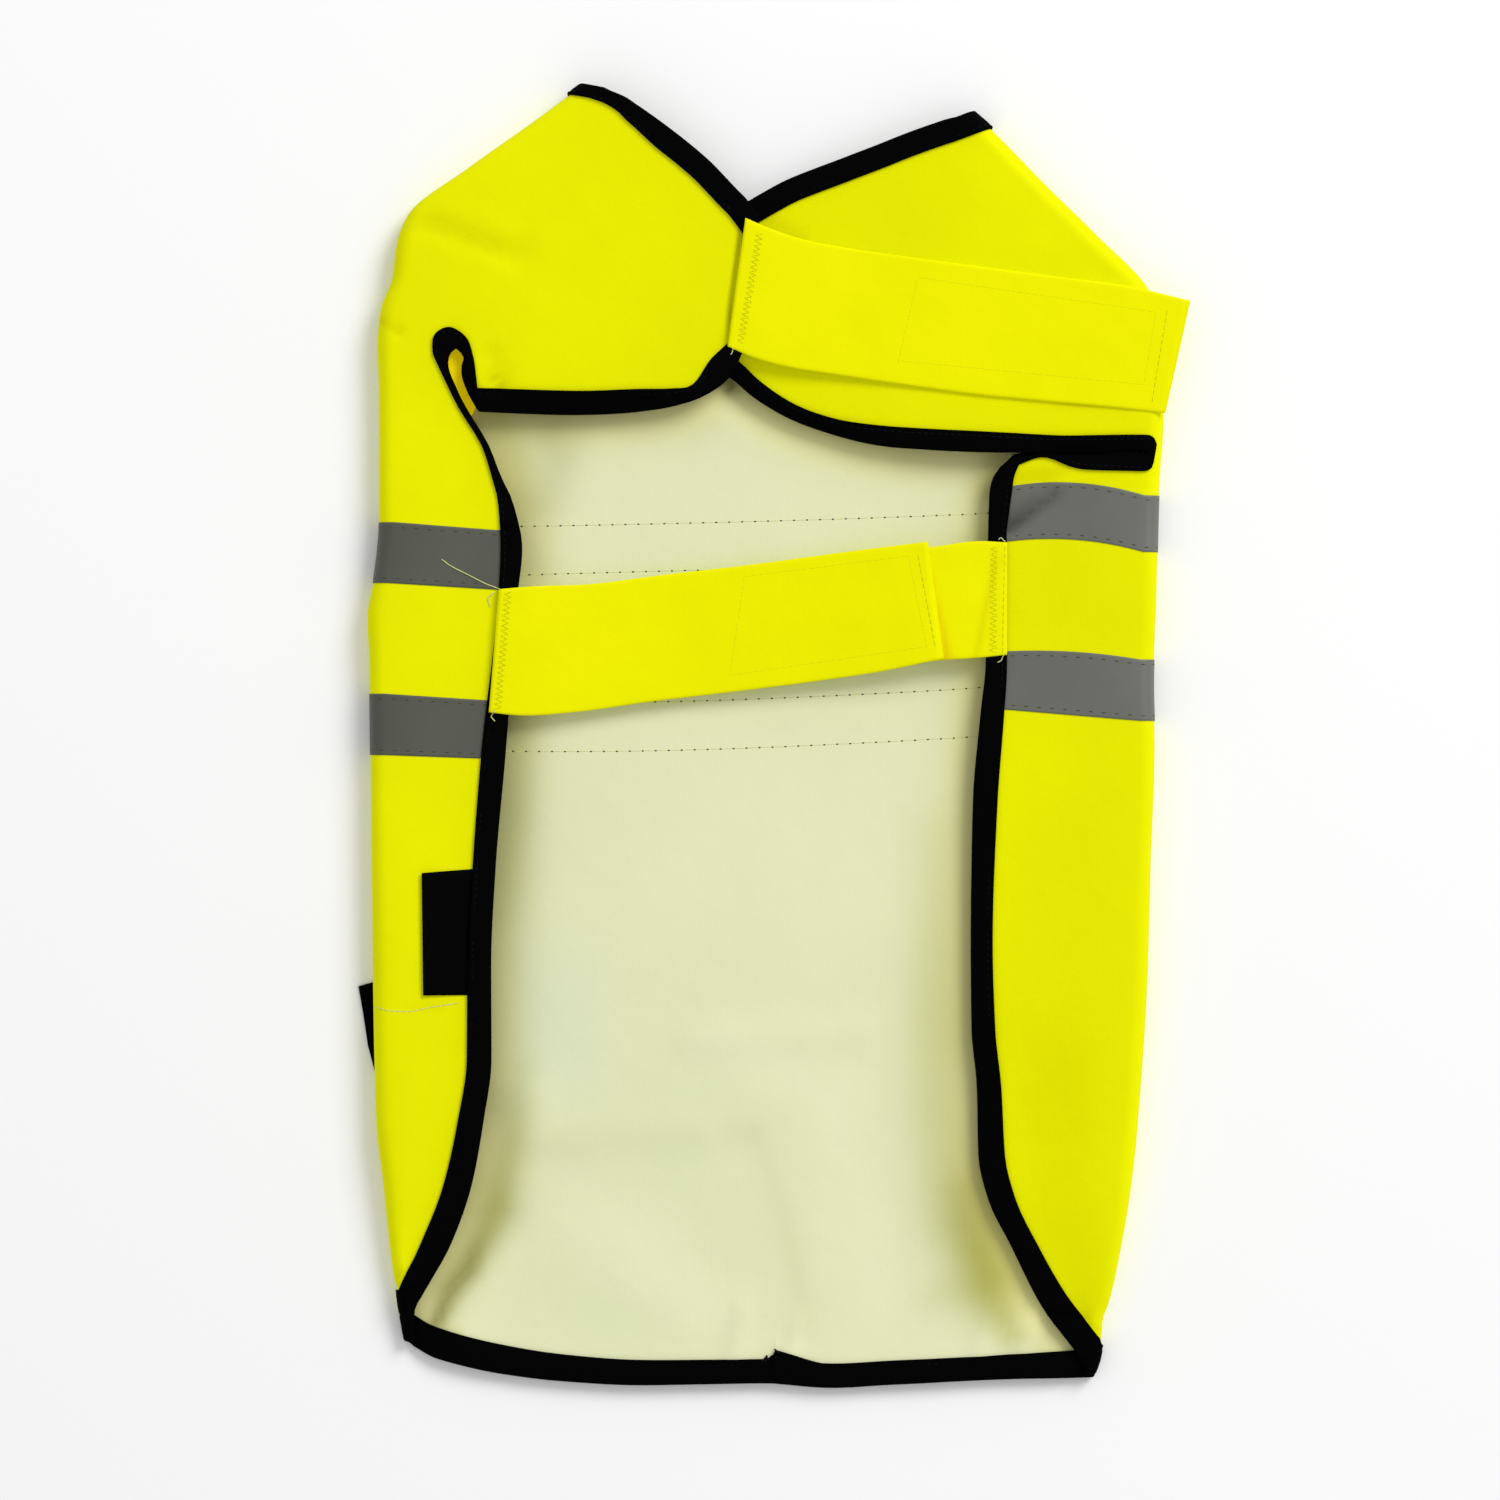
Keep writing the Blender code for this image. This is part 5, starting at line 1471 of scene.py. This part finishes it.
GROOVE_SHARE = 0.2  # of a binding's width, from its sewn edge to its row of stitches
GROOVE_SINK = 0.32
near_inner = ACROSS_BINDING.index(GROOVE_SHARE)
neck_row = AT["neck_inner"] + near_inner
hem_row = AT["hem"] + FROM_BINDING.index(1 - GROOVE_SHARE)
leg_row = AT["slit"] + FROM_BINDING.index(1 - GROOVE_SHARE)
strip_column = STRIP + near_inner
binding_seams = []
for side in (1, -1):
    binding_seams += [seam_on(patch, neck_row, side=side) for patch in ("left_wing", "right_wing", "back")]
    binding_seams += [
        seam_on("back", hem_row, side=side),
        seam_on("left_wing", leg_row, first=strip_column, side=side),
        seam_on("right_wing", leg_row, first=SLIT_END, side=side),
        seam_on("right_flap", AT["lip"] + near_inner, first=SLIT_END, last=strip_column, side=side),
        seam_on("left_flap", column=strip_column, first=hem_row, last=AT["slit"], side=side),
        seam_on("right_flap", column=strip_column, first=hem_row, last=AT["lip"], side=side),
    ]
sewn_in = BINDING_OUT - GROOVE_SINK
stitches("binding_stitches", binding_seams, BLACK_THREAD, BINDING_STITCH, (2.0, 0.4, 0.35), sewn_in)

SOFT_ENDINGS = ("_cloth", "_edging", "_band", "_label")
WELL_ABOVE = 60.0
tops = []
for piece in [item for item in bpy.data.objects if item.name.endswith(SOFT_ENDINGS)]:
    corners = [vertex.co / MM for vertex in piece.data.vertices]
    tops.append(bvhtree.BVHTree.FromPolygons(corners, [list(face.vertices) for face in piece.data.polygons]))


def laid(points, lift=0.0, step=0.8):
    """A line through some plan points, laid on whatever is uppermost there."""
    plan = [Vector((*point, 0.0)) for point in points]
    line = []
    for start, end in zip(plan, plan[1:]):
        for share in even(max(1, int((end - start).length / step))) + ([1.0] if end == plan[-1] else []):
            spot = mix(start, end, share)
            above = Vector((spot.x, spot.y, WELL_ABOVE))
            hits = [top.ray_cast(above, Vector((0, 0, -1))) for top in tops]
            hits = [hit for hit in hits if hit[0] is not None]
            highest = max(hits, key=lambda hit: hit[0].z)
            out = highest[1] if highest[1].z > 0 else -highest[1]
            line.append((np.array(highest[0]) + np.array(out) * lift, np.array(out)))
    return line


def zigzag(start, end, swing, pitch):
    """Plan points of a zigzag from start to end."""
    start, end = Vector(start), Vector(end)
    count = round((end - start).length / pitch)
    across = Vector((-(end - start).y, (end - start).x)).normalized() * swing
    return [mix(start, end, k / count) + across * (-1) ** k for k in range(count + 1)]


STRAP_SEAMS = [
    [(163.2, 177.0), (157.0, 139.5)],
    [(59.9, 75.8), (67.2, 37.0)],
    [(96.0, 79.5), (95.0, 35.5)],
]
FASTENER_SEAMS = [  # they hold the hook tape inside, and have sunk into the cloth
    [(60.0, 190.5), (158.5, 176.0), (153.5, 146.0), (52.0, 156.0), (60.0, 190.5)],
    [(-12.0, 66.6), (56.0, 75.0), (63.5, 37.5), (-18.0, 25.6), (-12.0, 66.6)],
]
STRAP_BARS = [  # zigzags over the straps' sewn ends
    ((-5.6, 208.6), (-13.6, 163.0)),
    ((-110.0, 60.2), (-114.2, 11.4)),
    ((91.5, 79.0), (91.0, 35.0)),
]
BAR_SWING = 1.3
BAR_PITCH = 1.1
strap_lines = [laid(line) for line in STRAP_SEAMS]
fastener_lines = [laid(line) for line in FASTENER_SEAMS]
bar_lines = [laid(zigzag(start, end, BAR_SWING, BAR_PITCH), step=0.5) for start, end in STRAP_BARS]
stitches("strap_stitches", strap_lines, YELLOW_THREAD, STRAP_STITCH, (2.4, 0.42, 0.34), SUNK)
stitches("fastener_stitches", fastener_lines, FASTENER_THREAD, STRAP_STITCH, (2.6, 0.34, 0.12), SUNK / 5)
stitches("strap_bars", bar_lines, YELLOW_THREAD, BAR_STITCH, (1.5, 0.4, 0.34), SUNK)

TAB_SEAM = [
    (-165.0, -112.0), (-159.3, -113.6), (-150.5, -113.8), (-143.5, -112.5), (-136.8, -111.3),
    (-129.5, -110.4),
]
stitches("tab_seam_stitches", [laid(TAB_SEAM)], PALE_THREAD, TAB_STITCH, (2.2, 0.5, 0.4), SUNK)

THREAD_SIDES = 6


def loose_thread(name, line, finish, radius):
    """A thread's end that lies loose along a line."""
    spots, along, across, up = spaced(line, 0.8)
    points, faces = [], []
    for spot, side, rise in zip(spots, across, up):
        for k in range(THREAD_SIDES):
            turn = math.tau * k / THREAD_SIDES
            points.append(spot + radius * (side * math.cos(turn) + rise * math.sin(turn)))
    for ring in range(0, len(points) - THREAD_SIDES, THREAD_SIDES):
        for k in range(THREAD_SIDES):
            a, b = ring + k, ring + (k + 1) % THREAD_SIDES
            faces.append([a, b, b + THREAD_SIDES, a + THREAD_SIDES])
    faces += [list(range(THREAD_SIDES))[::-1], list(range(len(points) - THREAD_SIDES, len(points)))]
    piece = solid(name, points, faces, [finish])


LOOSE_THREADS = {
    "flap_thread": [
        (-137.6, 73.7), (-134.6, 71.4), (-131.8, 69.8), (-125.5, 66.7), (-119.5, 63.6), (-113.4, 61.3)],
    "flap_thread_end": [(-116.0, 60.0), (-118.6, 57.5), (-117.6, 54.0)],
    "wing_thread": [(-16.6, 161.0), (-17.2, 159.0), (-18.0, 158.0)],
    "stub_thread": [(96.2, 81.0), (94.2, 82.8), (93.2, 81.4)],
    "stub_lower_thread": [(95.5, 34.0), (94.4, 31.6), (92.8, 30.8)],
    "belly_thread": [(-115.6, 11.0), (-117.2, 8.4), (-115.4, 6.4)],
    "hem_thread": [(0.9, -254.6), (0.2, -256.4), (-1.2, -257.6)],
}
for name, points in LOOSE_THREADS.items():
    loose_thread(name, laid(points, lift=0.25), PALE_THREAD, radius=0.22)

FRAYS = {  # the ends of the hem binding's own yarns, where its overlap was cut
    "hem_fray_left": [(-4.8, -259.8), (-3.7, -258.8), (-2.9, -258.0)],
    "hem_fray_middle": [(-3.3, -259.6), (-3.0, -258.3), (-2.6, -257.2)],
    "hem_fray_right": [(-2.0, -259.2), (-2.4, -258.5), (-2.7, -257.7)],
    "hem_fray_upper": [(2.4, -256.2), (1.2, -255.3), (0.5, -254.8)],
}
for name, points in FRAYS.items():
    loose_thread(name, laid(points, lift=0.5), BLACK_THREAD, radius=0.35)

# ----------------------------------------------------------------------------------------------------------
# The floor, the light and the camera: a white table under soft daylight from the upper right, seen from
# straight above through a long lens.

bpy.ops.object.select_all(action="DESELECT")
bpy.ops.mesh.primitive_plane_add(size=12.0, location=(0.0, 0.0, 0.0))
floor = bpy.context.object
floor.name = "white_table"
white, *_, floor_shader = principled("white_table", (0.95, 0.95, 0.95), roughness=0.9)
floor_shader.inputs["Emission Color"].default_value = (1.0, 1.0, 1.0, 1.0)
floor_shader.inputs["Emission Strength"].default_value = 0.02
floor_shader.inputs["Specular IOR Level"].default_value = 0.1
floor.data.materials.append(white)

world = bpy.data.worlds.new("daylight")
world.use_nodes = True
world.node_tree.nodes["Background"].inputs["Color"].default_value = (1.0, 1.0, 1.0, 1.0)
world.node_tree.nodes["Background"].inputs["Strength"].default_value = 0.62
bpy.context.scene.world = world

lamp_data = bpy.data.lights.new("soft_window", "AREA")
lamp_data.shape = "DISK"
lamp_data.size = 2.6
lamp_data.energy = 168.0
lamp = bpy.data.objects.new("soft_window", lamp_data)
lamp.location = (2.75, 2.95, 3.2)
lamp.rotation_euler = (-Vector(lamp.location)).to_track_quat("-Z", "Y").to_euler()
bpy.context.scene.collection.objects.link(lamp)

VIEW_MIDDLE = (-9.69 * MM, -5.42 * MM)
VIEW_WIDTH = 0.625
CAMERA_HEIGHT = 2.6
SENSOR = 36.0
camera_data = bpy.data.cameras.new("camera")
camera_data.sensor_width = SENSOR
camera_data.lens = SENSOR * CAMERA_HEIGHT / VIEW_WIDTH
camera = bpy.data.objects.new("camera", camera_data)
camera.location = (*VIEW_MIDDLE, CAMERA_HEIGHT)
bpy.context.scene.collection.objects.link(camera)
bpy.context.scene.camera = camera
bpy.context.scene.view_settings.view_transform = "Standard"
